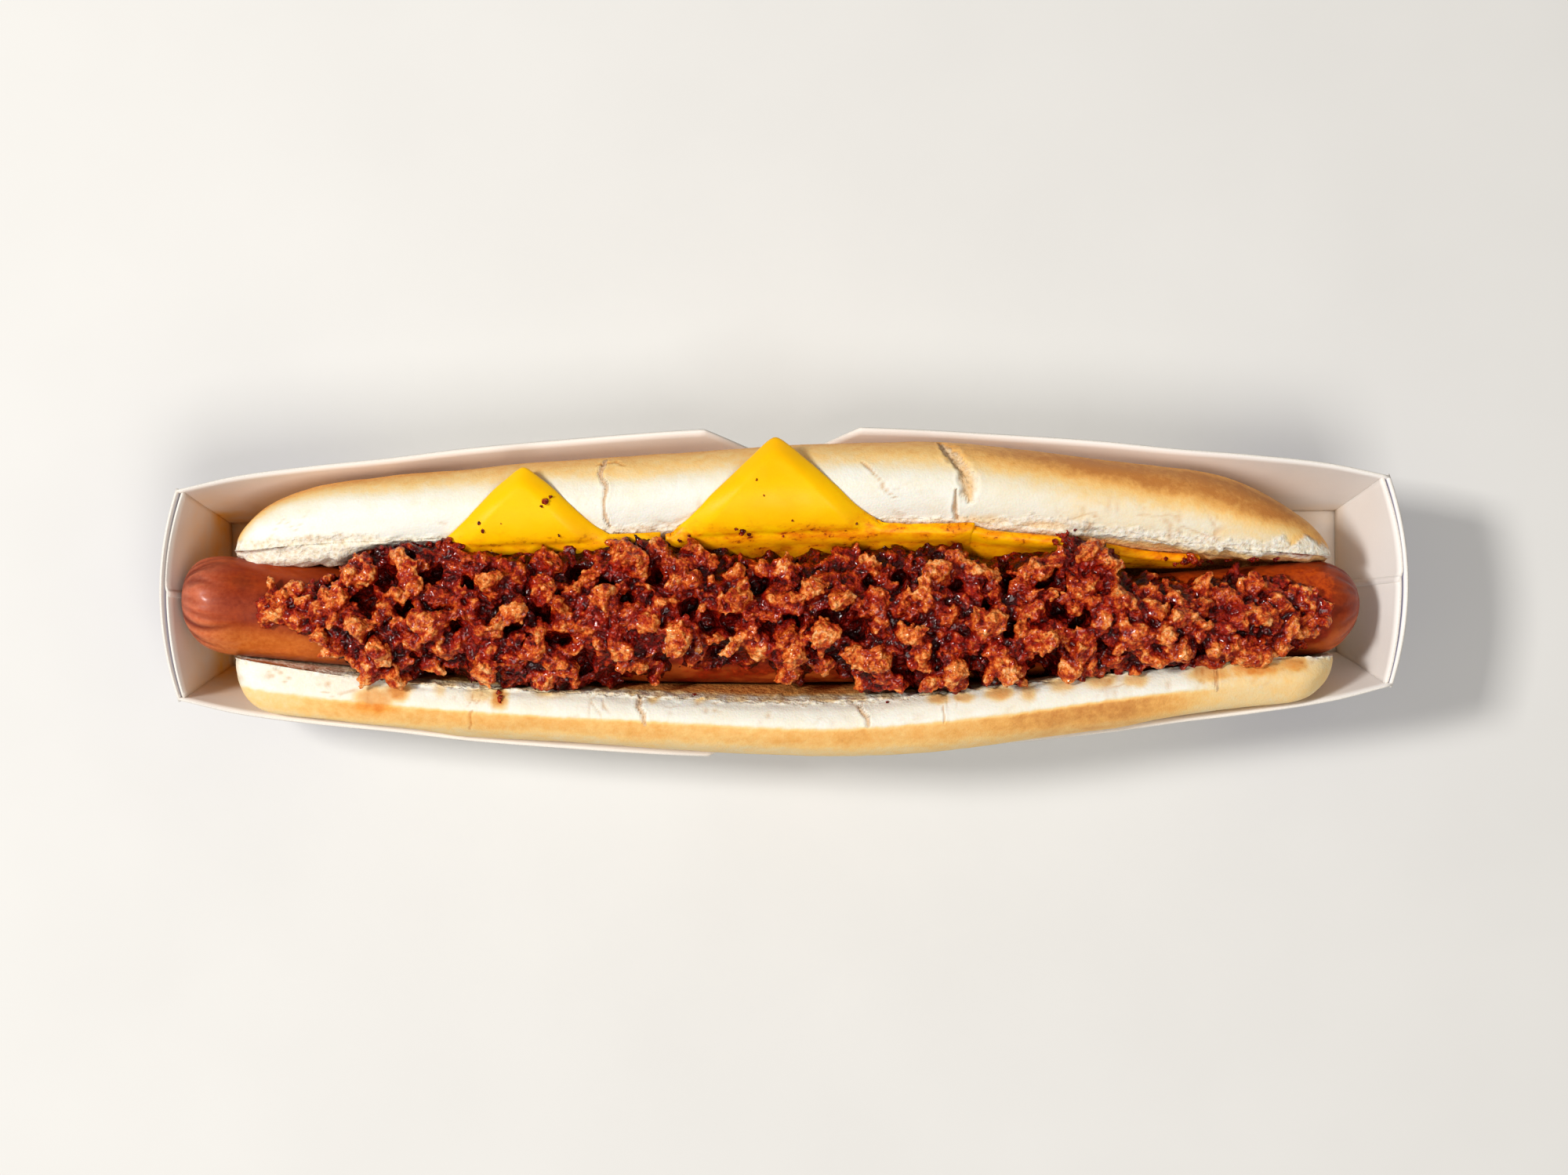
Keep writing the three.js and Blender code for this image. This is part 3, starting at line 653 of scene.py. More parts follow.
def board_materials():
    """The tray's white inside, and its outside with plain fields of blue."""
    p = Paint("board_inside")
    grease = p.attr("grease")
    fibre = p.noise(0.5, 3, 0.6)
    broad = p.noise(24, 3, 0.5)
    base = p.ramp(p.math("ADD", p.math("MULTIPLY", broad, 0.6), p.math("MULTIPLY", fibre, 0.25)), [(0.2, rgb(236, 230, 224)), (0.7, rgb(244, 240, 236))])
    oil = p.math("MULTIPLY", grease, p.span(p.noise(13, 4, 0.6), 0.25, 0.7, 0.35, 1.0))
    base = p.blend(oil, base, rgb(255, 190, 44))
    n = p.bump(fibre, 0.015)
    n = p.bump(p.noise(30, 2, 0.5), 0.35, n)
    inside = p.done(base, n, Roughness=p.span(oil, 0.1, 0.8, 0.52, 0.3), Specular_IOR_Level=0.4)

    p = Paint("board_outside")
    blue = p.attr("blue")
    fibre = p.noise(0.5, 3, 0.6)
    ink = p.ramp(p.math("ADD", p.math("MULTIPLY", p.noise(3, 4, 0.6), 0.5), p.math("MULTIPLY", fibre, 0.4)), [(0.2, rgb(44, 34, 128)), (0.7, rgb(52, 42, 146))])
    white = p.ramp(fibre, [(0.3, rgb(234, 230, 224)), (0.7, rgb(243, 240, 235))])
    stripe = p.math("MULTIPLY", p.span(blue, -9.1, -8.9), p.span(blue, -4.9, -5.1))
    base = p.blend(p.math("MAXIMUM", stripe, p.span(blue, -0.1, 0.1)), white, ink)
    n = p.bump(fibre, 0.015)
    n = p.bump(p.noise(30, 2, 0.5), 0.35, n)
    outside = p.done(base, n, Roughness=0.46, Specular_IOR_Level=0.42)

    p = Paint("board_edge")
    e = p.noise(0.35, 3, 0.6, stretch=(1, 1, 4))
    edge = p.done(p.ramp(e, [(0.25, rgb(214, 206, 194)), (0.75, rgb(240, 234, 226))]), p.bump(e, 0.05), Roughness=0.8)
    return [inside, outside, edge]


# ------------------------------------------------------------------------------------------------ tray

rim_profile = along(RIM_STATION_X, RIM_HALF_WIDTH)


def rim_half_width(x):
    return rim_profile(np.minimum(np.abs(x), RIM_CORNER_X))


def rim_sag(x):
    return -RIM_SAG * (1 - (x / RIM_CORNER_X) ** 2)


def rim_height(x):
    return np.sqrt(WALL_SLANT**2 - (rim_half_width(x) - FLOOR_HALF_WIDTH) ** 2)


def long_wall(side, u, v):
    x = RIM_CORNER_X * u
    t = v * (1 - NOTCH_DEPTH / WALL_SLANT * np.maximum(0, 1 - np.abs(x) / NOTCH_HALF_WIDTH))
    return np.stack([mix(FLOOR_HALF_LENGTH * u, x, t), side * mix(FLOOR_HALF_WIDTH, rim_half_width(x), t) + rim_sag(x) * t, rim_height(x) * t], -1)


def end_wall(end, w, v, inward=0.0, lower=0.0):
    x = mix(FLOOR_HALF_LENGTH, RIM_CORNER_X, v) + (END_RIM_X - RIM_CORNER_X) * (1 - w * w) * v**1.5 - inward
    return np.stack([end * x, mix(FLOOR_HALF_WIDTH, RIM_HALF_WIDTH[-1], v) * w, (END_HEIGHT - lower) * v], -1)


def board_sheet(P, thickness, flip=False):
    """A grid of points on a sheet's outer face as a closed board. Returns vertices and its outer, inner and edge faces."""
    n = grid_normals(P)
    if flip:
        n = -n
    m, k = P.shape[:2]
    V = np.concatenate([P.reshape(-1, 3), (P - n * thickness).reshape(-1, 3)])
    outer = grid_faces(m, k)
    inner = grid_faces(m, k, offset=m * k)[:, ::-1]
    ring = [(i, 0) for i in range(m)] + [(m - 1, j) for j in range(1, k)] + [(i, k - 1) for i in range(m - 2, -1, -1)] + [(0, j) for j in range(k - 2, 0, -1)]
    r = np.array([i * k + j for i, j in ring])
    r2 = np.roll(r, -1)
    edge = np.stack([r, r + m * k, r2 + m * k, r2], -1)
    groups = [outer, inner, edge]
    if volume(V, groups) < 0:
        groups = [f[:, ::-1] for f in groups]
    return V, groups


def make_tray():
    parts = []
    # long walls: fine enough for the notch's straight edges
    u = np.unique(np.concatenate([np.linspace(-1, 1, 161), np.array([-1, 0, 1]) * NOTCH_HALF_WIDTH / RIM_CORNER_X]))
    for side in (-1, 1):
        U, W = np.meshgrid(u, np.linspace(0, 1, 15), indexing="ij")
        P = long_wall(side, U, W)
        # the board waves a little between its folds
        wave = 0.5 * perlin(np.c_[U.ravel() * 4, W.ravel() * 1.2, np.full(U.size, side * 3.0)], 5).reshape(U.shape)
        P[..., 1] += wave * np.sin(np.pi * W) * 0.9
        parts.append((P, BOARD, side > 0))
    # floor
    fx, fy = np.meshgrid(np.linspace(-FLOOR_HALF_LENGTH, FLOOR_HALF_LENGTH, 60), np.linspace(-FLOOR_HALF_WIDTH, FLOOR_HALF_WIDTH, 8), indexing="ij")
    parts.append((np.stack([fx, fy, np.zeros_like(fx)], -1), BOARD, True))
    for end in (-1, 1):
        # the end panel, a little wider than the walls so that its corners show
        W, Z = np.meshgrid(np.linspace(-1.02, 1.02, 33), np.linspace(0, 1, 15), indexing="ij")
        P = end_wall(end, W, Z)
        parts.append((P, BOARD, end < 0))
        # two flaps inside it, one from each long wall, that overlap at a seam which isn't quite straight
        for side, over in ((-1, 0.02), (1, 0.11)):
            w0, w1 = (side * 0.99, -0.02 * side + (0.0 if side < 0 else -0.05))
            W, Z = np.meshgrid(np.linspace(w0, w1, 19), np.linspace(0.02, 1, 15), indexing="ij")
            seam = clamp01(1 - np.abs(W - w1) / 0.12)
            W = W + (Z - 0.4) * 0.09 * clamp01(1 - np.abs(W - w1) / 0.9) * (1 if side > 0 else 0.6)
            lift = 0.72 + 0.55 * Z**1.3 + 0.9 * seam * (1 if side > 0 else 0.1) * Z
            P = end_wall(end, W, Z, inward=lift, lower=0.9)
            P[..., 0] += end * 0.25 * np.sin(3.0 * W + side) * Z
            parts.append((P, BOARD, (end < 0) == (side < 0)))
    V, faces, index, count = [], [], [], 0
    for P, thick, flip in parts:
        v, groups = board_sheet(P, thick, flip)
        # the outer face is the one further from the tray's middle
        V.append(v)
        for k, f in enumerate(groups):
            faces.append(f + count)
            index.append(np.full(len(f), {0: 1, 1: 0, 2: 2}[k]))
        count += len(v)
    V = np.concatenate(V)
    x, y, z = V.T
    grease = clamp01(step(-124, -144, x) * step(18, 3, z) * 1.1 + 0.62 * step(-134, -156, x) * step(52, 8, z))
    grease = np.maximum(grease, 0.25 * step(118, 140, x) * step(12, 1, z))
    # blue: the whole of both ends, a field that narrows along the walls, and a stripe
    ax = np.abs(x)
    edge_x = 112 + 34 * clamp01(z / 40) ** 1.5
    blue = np.clip(ax - edge_x, -20.0, 20.0)
    return build("tray_board", V, faces, board_materials(), {"grease": grease, "blue": blue}, index, replaces=["tray"])


# ------------------------------------------------------------------------------------------------ sausage


def frank_y(x):
    return FRANK_BOW_Y + np.where(x < FRANK_BOW_X, FRANK_BOW_LEFT, FRANK_BOW_RIGHT) * (x - FRANK_BOW_X) ** 2


def frank_z(x):
    left = x < FRANK_BOW_X
    t = np.where(left, (FRANK_BOW_X - x) / (FRANK_BOW_X - FRANK_LEFT_X), (x - FRANK_BOW_X) / (FRANK_RIGHT_X - FRANK_BOW_X))
    return FRANK_AXIS_Z + np.where(left, FRANK_LIFT_LEFT, FRANK_LIFT_RIGHT) * t * t


def frank_body(x):
    return mix(FRANK_RADIUS_LEFT, FRANK_RADIUS_RIGHT, (x - FRANK_LEFT_X) / (FRANK_RIGHT_X - FRANK_LEFT_X))


def cap_shape(t, blunt):
    return (1 - np.minimum(1, np.maximum(0, t)) ** blunt) ** (1 / blunt)


def frank_radius(x):
    left = (FRANK_LEFT_X + FRANK_CAP - x) / FRANK_CAP
    right = (x - (FRANK_RIGHT_X - FRANK_CAP)) / FRANK_CAP
    return frank_body(x) * np.where(left > 0, cap_shape(left, 2.5), np.where(right > 0, cap_shape(right, 2.05), 1))


def make_frank(material):
    near = np.array([0.004, 0.015, 0.03, 0.05, 0.075, 0.105, 0.14, 0.18, 0.225, 0.275, 0.33, 0.39, 0.455, 0.525, 0.6, 0.68, 0.765, 0.855, 0.95]) * FRANK_CAP
    body = np.linspace(FRANK_LEFT_X + FRANK_CAP, FRANK_RIGHT_X - FRANK_CAP, 250)
    xs = np.concatenate([FRANK_LEFT_X + near, body, (FRANK_RIGHT_X - near)[::-1]])
    around = 108
    a = 2 * np.pi * np.arange(around) / around
    X, A = np.meshgrid(xs, a, indexing="ij")
    R = frank_radius(X)
    dist = np.minimum(X - FRANK_LEFT_X, FRANK_RIGHT_X - X)
    left = X < 0
    # gathers of the casing run back from each tip as narrow creases
    rng = np.random.default_rng(11)
    crease = np.zeros_like(X)
    for is_left, count in ((True, 21), (False, 19)):
        angles = (np.arange(count) + rng.uniform(-0.28, 0.28, count)) * 2 * np.pi / count
        reach = rng.uniform(7, 21, count) if is_left else rng.uniform(7, 17, count)
        depth = rng.uniform(0.5, 1.0, count)
        width = rng.uniform(0.05, 0.085, count)
        for k in range(count):
            bend = 0.12 * np.sin(dist / 5 + k)
            d = np.abs((A - angles[k] - bend + np.pi) % (2 * np.pi) - np.pi)
            w = width[k] * (0.7 + 3.4 * np.exp(-dist / 3.0))
            line = np.exp(-((d / w) ** 2)) * depth[k] * step(reach[k], reach[k] * 0.35, dist)
            crease = np.maximum(crease, np.where(left == is_left, line, 0))
    P = np.stack([X, frank_y(X) + R * np.cos(A), frank_z(X) + R * np.sin(A)], -1)
    N = np.stack([np.zeros_like(X), np.cos(A), np.sin(A)], -1)
    flat = P.reshape(-1, 3)
    bumps = 0.30 * fbm(flat / (26, 11, 11), 3, 2) + 0.10 * fbm(flat / (9, 3.2, 3.2), 7, 2)
    wrinkle = 0.10 * fbm(flat / (16, 1.7, 1.7), 9, 2) * step(60, 4, dist.ravel())
    inset = 0.8 * crease * (0.25 + 0.75 * step(0.2, 5, dist))
    P = P + N * ((bumps + wrinkle).reshape(X.shape) * clamp01(dist / 4) - inset)[..., None]
    V = np.concatenate([P.reshape(-1, 3), [[FRANK_LEFT_X, frank_y(FRANK_LEFT_X), frank_z(FRANK_LEFT_X)], [FRANK_RIGHT_X, frank_y(FRANK_RIGHT_X), frank_z(FRANK_RIGHT_X)]]])
    m = len(xs)
    k = np.arange(around)
    l, r = m * around, m * around + 1
    caps = np.concatenate([np.stack([np.full(around, l), k, (k + 1) % around], -1)[:, ::-1], np.stack([np.full(around, r), (m - 1) * around + k, (m - 1) * around + (k + 1) % around], -1)])
    x, y, z = V.T
    end = step(-141, -156, x)
    up = np.concatenate([np.sin(A).ravel(), [0, 0]])
    side = np.concatenate([np.cos(A).ravel(), [0, 0]])
    # painted light: the near, lower side of the casing is made paler orange, as if lit from there, more so towards the
    # left end
    lit_side = clamp01(step(-0.2, -0.62, side) * step(-0.8, 0.3, up) * 0.75 + 0.25 * step(0.3, -0.6, up)) * (0.35 + 0.65 * step(-110, -128, x))
    # the sauce film on top, where the heap lies
    lean = y - frank_y(x)
    mid = np.exp(-(((lean - 0.5) / 5.5) ** 2)) * step(-0.2, 0.4, up)
    dark = clamp01(mid * step(-152, -140, x) * step(-80, -100, x) * 0.85 + step(134, 143, x) * (0.5 + 0.25 * up) * step(151, 147, x) * step(-9, 0, lean))
    lit_side = lit_side * (1 - 0.6 * dark)
    thin = step(84, 100, x) * step(0, 6, lean)
    film = step(-132, -112, x) * step(148, 136, x) * step(-11.5, -5.5, lean + 2.2 * line1(x, 4, 9)) * step(13, 8, lean + 2 * line1(x, 8, 7))
    below = step(-46, -36, x) * step(30, 20, x) * step(-4, -8, lean)
    film = np.maximum(film, clamp01(0.55 + 0.7 * fbm(V / (6, 4, 4), 13, 2)) * below)
    # crease carries the creases' inset and, in the material, their painted shade
    attrs = {"end": end, "crease": np.concatenate([crease.ravel(), [0.4, 0.4]]), "lit_side": lit_side, "sauce": film, "dark": dark, "thin": thin}
    return build("frankfurter_casing", V, [grid_faces(m, around, wrap_n=True), caps], material, attrs, replaces=["frankfurter"])


# ------------------------------------------------------------------------------------------------ bun

wide_outside = along(BUN_STATION_X, WIDE_OUTSIDE_Y)
wide_cut_edge = along(BUN_STATION_X, WIDE_CUT_EDGE_Y)
narrow_cut_edge = along(BUN_STATION_X, NARROW_CUT_EDGE_Y)
narrow_outside = along(BUN_STATION_X, NARROW_OUTSIDE_Y)


def beyond(x, rounding):
    return clamp01(np.maximum(x - (BUN_RIGHT_X - rounding), BUN_LEFT_X + rounding - x) / rounding)


def cut_edge_z(x):
    full = CUT_EDGE_ABOVE_AXIS - 2.6 * (x / 110) ** 2
    return frank_z(x) + full * (0.1 + 0.9 * np.sqrt(1 - np.minimum(0.999, beyond(x, 38)) ** 2))


def inside_wall(side, x, z):
    return FLOOR_HALF_WIDTH + ((rim_half_width(x) + side * rim_sag(x) - FLOOR_HALF_WIDTH) * z) / rim_height(x) - 1.2 * BOARD - WALL_CLEARANCE


def fit_wall(x, y, z):
    side = np.sign(y)
    return side * np.minimum(np.abs(y), inside_wall(side, x, z) + 1.6 * np.maximum(0, z - rim_height(x) - 0.5))


def cut_faces(x, q):
    """x is a column of stations and q a row from 0, the wide half's cut edge, to 1, the narrow half's."""
    y, z = frank_y(x), frank_z(x)
    r = frank_body(x) + 0.5
    room = CHEESE_THICKNESS + 2 * CHEESE_GAP - 0.4
    wide_r = r + room * (1 - beyond(x, 34))
    edge = cut_edge_z(x)
    a = np.pi * clamp01((q - 0.25) / 0.5)
    ry = y + mix(wide_r, r, clamp01((q - 0.25) / 0.5)) * np.cos(a)
    rz = z - r * np.sin(a)
    t1 = clamp01(q / 0.25)
    t2 = clamp01((q - 0.75) / 0.25)
    narrow_top = np.minimum(narrow_cut_edge(x), y - r)
    Y = np.where(q < 0.25, mix(wide_cut_edge(x), y + wide_r, t1), np.where(q > 0.75, mix(y - r, narrow_top, t2), ry))
    Z = np.where(q < 0.25, mix(edge, z, t1), np.where(q > 0.75, mix(z, edge, t2), rz))
    return Y, Z


def crust(x, t):
    """The bun's outside at full thickness, t from 0 at the wide half's cut edge to 1 at the narrow half's."""
    x = np.asarray(x, float)
    wide, wide_edge = wide_outside(x), wide_cut_edge(x)
    narrow, narrow_edge = narrow_outside(x), narrow_cut_edge(x)
    crest = BUN_CREST_Z - BUN_CREST_DROP * (x / 110) ** 2
    edge = frank_z(x) + CUT_EDGE_ABOVE_AXIS - 2.6 * (x / 110) ** 2
    one = np.ones_like(x)
    spots = [
        (wide_edge, edge),
        (mix(wide_edge, wide, 0.22), mix(edge, crest, 0.72)),
        (mix(wide_edge, wide, 0.5), crest),
        (mix(wide_edge, wide, 0.82), crest - 3.6),
        (fit_wall(x, wide - 0.4, crest - 10), crest - 10),
        (fit_wall(x, wide - 0.2, 33 * one), 33 * one),
        (fit_wall(x, wide - 2, 22 * one), 22 * one),
        (fit_wall(x, 31 * one, 11 * one), 11 * one),
        (17.5 * one, 2.6 * one),
        (10 * one, BUN_BASE_Z * one),
        (-11 * one, BUN_BASE_Z * one),
        (-17.5 * one, 2.6 * one),
        (fit_wall(x, -31 * one, 11 * one), 11 * one),
        (fit_wall(x, narrow + 2, 22 * one), 22 * one),
        (fit_wall(x, narrow + 0.6, 32 * one), 32 * one),
        (fit_wall(x, narrow, crest - 11), crest - 11),
        (mix(narrow_edge, narrow, 0.86), crest - 4),
        (mix(narrow_edge, narrow, 0.5), crest),
        (mix(narrow_edge, narrow, 0.2), mix(edge, crest, 0.75)),
        (narrow_edge, edge),
    ]
    S = np.stack([np.stack([y + 0 * x, z + 0 * x], -1) for y, z in spots], 1)  # stations, spots, 2
    n = S.shape[1]
    p = (n - 1) * np.asarray(t, float)
    k = np.minimum(np.floor(p).astype(int), n - 1)
    w = (p - k)[None, :, None]
    p0 = S[:, np.where(k == 0, k, k - 1)]
    p1 = S[:, k]
    p2 = S[:, np.where(k > n - 2, n - 1, k + 1)]
    p3 = S[:, np.where(k > n - 3, n - 1, k + 2)]
    v0, v1 = (p2 - p0) / 2, (p3 - p1) / 2
    C = (2 * p1 - 2 * p2 + v0 + v1) * w**3 + (-3 * p1 + 3 * p2 - 2 * v0 - v1) * w**2 + v0 * w + p1
    Y, Z = C[..., 0], np.maximum(BUN_BASE_Z, C[..., 1])
    Y = np.where(Z > 4, fit_wall(x[:, None], Y, Z), Y)
    return Y, Z


def end_rounding(x, rounding):
    b = beyond(x, rounding)
    return np.maximum(0.03, np.where(x < 0, np.sqrt(1 - b**3.0), (1 - b * b) ** 0.58))


def near_line(P, pts, wobble, seed):
    """Distance in plan from points to a bent line, whose course wobbles."""
    p = P[:, :2] + wobble * np.c_[perlin(np.c_[P[:, :2] / 3.1, np.zeros(len(P))], seed), perlin(np.c_[P[:, :2] / 3.1, np.full(len(P), 5.5)], seed)]
    best = np.full(len(P), 1e9)
    where = np.zeros(len(P))
    total = len(pts) - 1
    for i, (a, b) in enumerate(zip(pts[:-1], pts[1:])):
        a, b = np.array(a), np.array(b)
        d = b - a
        t = clamp01(((p - a) @ d) / (d @ d))
        q = np.linalg.norm(p - (a + t[:, None] * d), axis=1)
        where = np.where(q < best, (i + t) / total, where)
        best = np.minimum(best, q)
    return best, where


# Splits in the bread: points of the frame, height, width mm, depth mm, which half.
SPLITS = [
    ([(772, 588), (766, 604), (774, 622), (772, 652), (776, 672)], 50, 1.5, 0.6, 1, 1),
    ([(764, 592), (786, 586), (800, 594)], 50, 0.9, 0.5, 1, 2),
    ([(1206, 566), (1218, 580), (1231, 598), (1238, 616), (1238, 640)], 50, 4.4, 1.9, 1, 3),
    ([(1221, 626), (1219, 648), (1224, 670)], 50, 1.3, 1.4, 1, 4),
    ([(1102, 588), (1118, 606), (1128, 622), (1142, 636)], 51, 0.7, 0.5, 1, 5),
    ([(1010, 585), (1000, 600)], 51, 0.6, 0.3, 1, 6),
    ([(816, 884), (813, 900), (820, 912), (824, 926)], 47, 1.6, 1.0, -1, 7),
    ([(1092, 900), (1100, 912), (1108, 928)], 47, 1.6, 0.8, -1, 8),
    ([(1546, 852), (1550, 880)], 45, 1.5, 0.6, -1, 9),
    ([(602, 905), (598, 930)], 46, 0.8, 0.4, -1, 10),
    ([(1200, 900), (1202, 922)], 46, 0.8, 0.4, -1, 11),
    ([(1360, 700), (1388, 682), (1402, 650)], 49, 0.9, 0.5, 1, 12),
]


def make_bun(material):
    # stations: closer where the bread is split
    fine = [place(pts[0][0], pts[0][1], z)[0] for pts, z, *_ in SPLITS]
    dens_x = np.linspace(BUN_LEFT_X, BUN_RIGHT_X, 3000)
    dens = np.full(len(dens_x), 1.0)
    for f in fine:
        dens += 1.1 * np.exp(-(((dens_x - f) / 4.0) ** 2))
    dens += 2.4 * np.exp(-(dens_x - BUN_LEFT_X) / 4.0) + 2.4 * np.exp(-(BUN_RIGHT_X - dens_x) / 4.0)
    cum = np.concatenate([[0], np.cumsum((dens[1:] + dens[:-1]) / 2)])
    xs = np.interp(np.linspace(0, cum[-1], 350), cum, dens_x)
    # the section: closer on what shows from above
    tt = np.linspace(0, 1, 1600)
    cy, cz = crust(np.array([0.0]), tt)
    cy, cz = cy[0], cz[0]
    seg = np.hypot(np.diff(cy), np.diff(cz))
    zc = (cz[1:] + cz[:-1]) / 2
    weight = seg * (0.13 + 0.87 * step(24, 38, zc))
    cum = np.concatenate([[0], np.cumsum(weight)])
    t = np.interp(np.linspace(0, cum[-1], 186), cum, tt)
    q = np.concatenate([np.linspace(0, 0.2, 16), np.linspace(0.22, 0.78, 30), np.linspace(0.8, 1, 16)])
    X = xs[:, None]
    iy, iz = cut_faces(X, q[None])
    oy_full, oz_full = crust(xs, t)
    by, bz = cut_faces(X, t[None])
    f = end_rounding(X, mix(WIDE_END_ROUNDING, NARROW_END_ROUNDING, ease(t)[None]))
    oy, oz = mix(by, oy_full, f), mix(bz, oz_full, f)
    # how far out from the cut edge a point of the outside is, as a share of the half's width in plan
    we, wo = wide_cut_edge(X), wide_outside(X)
    ne, no = narrow_cut_edge(X), narrow_outside(X)
    ring = np.concatenate([np.stack([np.broadcast_to(X, oy.shape), oy, oz], -1), np.stack([np.broadcast_to(X, iy.shape), iy, iz], -1)[:, ::-1]], 1)
    m, k = ring.shape[:2]
    nt = len(t)
    # normals of the outside from its grid, and of the cut faces from theirs
    No = grid_normals(ring[:, :nt])
    Ni = grid_normals(ring[:, nt:])
    if No[m // 2, 10, 2] < 0:
        No = -No
    if Ni[m // 2, -6, 1] > 0:
        Ni = -Ni
    N = np.concatenate([No, Ni], 1)
    P = ring.reshape(-1, 3)
    Nf = N.reshape(-1, 3)
    x, y, z = P.T
    outer = np.zeros((m, k), bool)
    outer[:, :nt] = True
    outer = outer.ravel()
    T = np.zeros((m, k))
    T[:, :nt] = t[None]
    T = T.ravel()
    half = np.where(outer, np.where(T < 0.5, 1, -1), np.where(y > frank_y(x), 1, -1))
    # distance from the nearest cut edge along the section
    edge_d = np.zeros((m, k))
    so = np.concatenate([np.zeros((m, 1)), np.cumsum(np.hypot(np.diff(oy, axis=1), np.diff(oz, axis=1)), 1)], 1)
    edge_d[:, :nt] = np.minimum(so, so[:, -1:] - so)
    si = np.concatenate([np.zeros((m, 1)), np.cumsum(np.hypot(np.diff(iy, axis=1), np.diff(iz, axis=1)), 1)], 1)
    edge_d[:, nt:] = np.minimum(si, si[:, -1:] - si)[:, ::-1]
    edge_d = edge_d.ravel()
    top = step(30, 40, z) * outer
    ends = clamp01(np.minimum(x - BUN_LEFT_X, BUN_RIGHT_X - x) / 6.0)

    # broad unevenness, and the slight facets that a soft bun has
    push = 0.55 * fbm(P / (32, 16, 16), 21, 2) + 0.16 * fbm(P / (7, 5, 5), 22, 2)
    push = push * np.where(outer, step(3.0, 12, z), 0.5) * (0.3 + 0.7 * ends)

    # fine cross wrinkles on the narrow half's pale strip
    strip = (half < 0) * outer * step(11, 3, edge_d) * step(0.2, 2, edge_d)
    r1, r2 = cells(np.c_[x / 3.6, y / 9.0, np.zeros(len(x))], 31)
    wrinkle = step(0.075, 0.0, r2 - r1) * step(-0.05, 0.25, perlin(np.c_[x / 11, y / 8, np.zeros(len(x))], 35))
    push = push - 0.24 * wrinkle * strip
    # painted shade: the wrinkle lines here and on the wide half's strip are also darkened in colour
    crack_shade = 0.5 * wrinkle * strip
    strip_w = (half > 0) * outer * step(14, 4, edge_d) * step(0.2, 2, edge_d)
    r1, r2 = cells(np.c_[x / 5.5, y / 8.0, np.zeros(len(x))], 33)
    fine_w = step(0.07, 0.0, r2 - r1) * step(0.1, 0.3, perlin(np.c_[x / 19, y / 14, np.zeros(len(x))], 34) + 0.15)
    push = push - 0.22 * fine_w * strip_w
    crack_shade = np.maximum(crack_shade, 0.4 * fine_w * strip_w)

    # splits
    crumb = np.zeros(len(x))
    soft = np.zeros(len(x))
    for pts, hz, width, depth, which, seed in SPLITS:
        line = [place(u, v, hz) for u, v in pts]
        near = (half == which) & outer & (z > 30)
        idx = np.nonzero(near)[0]
        d, s = near_line(P[idx], line, 0.8, 40 + seed)
        taper = np.sqrt(np.clip(np.minimum(s, 1 - s) * 5 + 0.25, 0, 1))
        w = width * 0.5 * taper * (1 + 0.45 * perlin(P[idx] / 1.9, 60 + seed))
        g = step(1.0, 0.35, d / np.maximum(w, 0.2))
        lip = np.exp(-(((d - w * 1.25) / 0.5) ** 2)) * 0.16
        push[idx] += lip * taper - depth * g * (0.75 + 0.35 * perlin(P[idx] / 1.1, 80 + seed))
        # painted shade: the splits are also darkened in colour, the narrow ones most
        crack_shade[idx] = np.maximum(crack_shade[idx], (0.55 if width < 2.5 else 0.2) * g)
        if width > 1.0:
            crumb[idx] = np.maximum(crumb[idx], step(0.2, 0.7, g) * (0.7 if width < 2.5 else 1.0))
        if width > 2.5:
            soft[idx] = np.maximum(soft[idx], 0.26 * g)

    # where the crust has torn back from the cut edge, crumb shows
    rough = fbm(P / (2.6, 2.6, 2.6), 51, 3)
    ragged = fbm(np.c_[x / 7.0, np.zeros(len(x)), half * 3.0], 52, 3)
    reach_w = 0.9 + 1.7 * step(-98, -112, x) + 2.4 * step(38, 70, x) + 1.3 * np.exp(-(((x + 45) / 14) ** 2)) + 4.4 * np.clip(ragged, -0.1, 1) * (0.35 + step(36, 64, x) * 0.9 + 0.6 * np.exp(-(((x + 45) / 14) ** 2)))
    reach_n = 0.8 + 3.0 * np.clip(ragged, -0.1, 1) + 0.8 * np.exp(-(((x - 15) / 20) ** 2))
    reach = np.where(half > 0, reach_w, reach_n)
    torn = step(0.7, -0.7, edge_d - reach - 1.8 * rough) * outer
    crumb = np.maximum(crumb, torn)
    crumb = np.where(outer, crumb, 1.0)
    bent = P + 1.6 * np.stack([perlin(P / 3.3 + 4.7 * j, 57 + j) for j in range(3)], 1)
    pits1, _ = cells(bent / 2.1, 53)
    pits2, _ = cells(bent / 4.3, 54)
    pit = (0.55 - pits1) * 0.5 * clamp01(0.6 + 1.6 * perlin(P / 5.0, 61)) + (0.5 - pits2) * 1.0
    inner_face = ~outer
    push = push - torn * (0.10 + 0.5 * clamp01(pit + 0.2)) * step(0.0, 1.5, edge_d + 0.6)
    free = step(-104, -116, x) + step(98, 110, x)
    push = push - inner_face * step(24, 2, edge_d) * (pit * (0.9 + 0.9 * free * (half > 0)) + 0.5 * rough)
    # the crumb bulges where nothing lies against it
    push = push + inner_face * (half > 0) * free * (0.9 + 2.5 * (x < 0)) * step(-0.6, 3.0, edge_d) * step(14, 7.5, edge_d) * ends
    push = push - outer * (half > 0) * step(-100, -114, x) * 0.9 * step(3.2, 0.0, edge_d) * ends
    # the cut edge itself is uneven
    edge_zone = np.exp(-((edge_d / 1.6) ** 2))
    torn_more = np.where(half < 0, 1.5 * step(-104, -92, x) + 0.3, 1.0 + 0.7 * step(36, 60, x))
    push = push + edge_zone * (0.75 * rough + 0.35 * fbm(P / 1.1, 55, 2)) * ends * torn_more

    V = P + Nf * push[:, None]
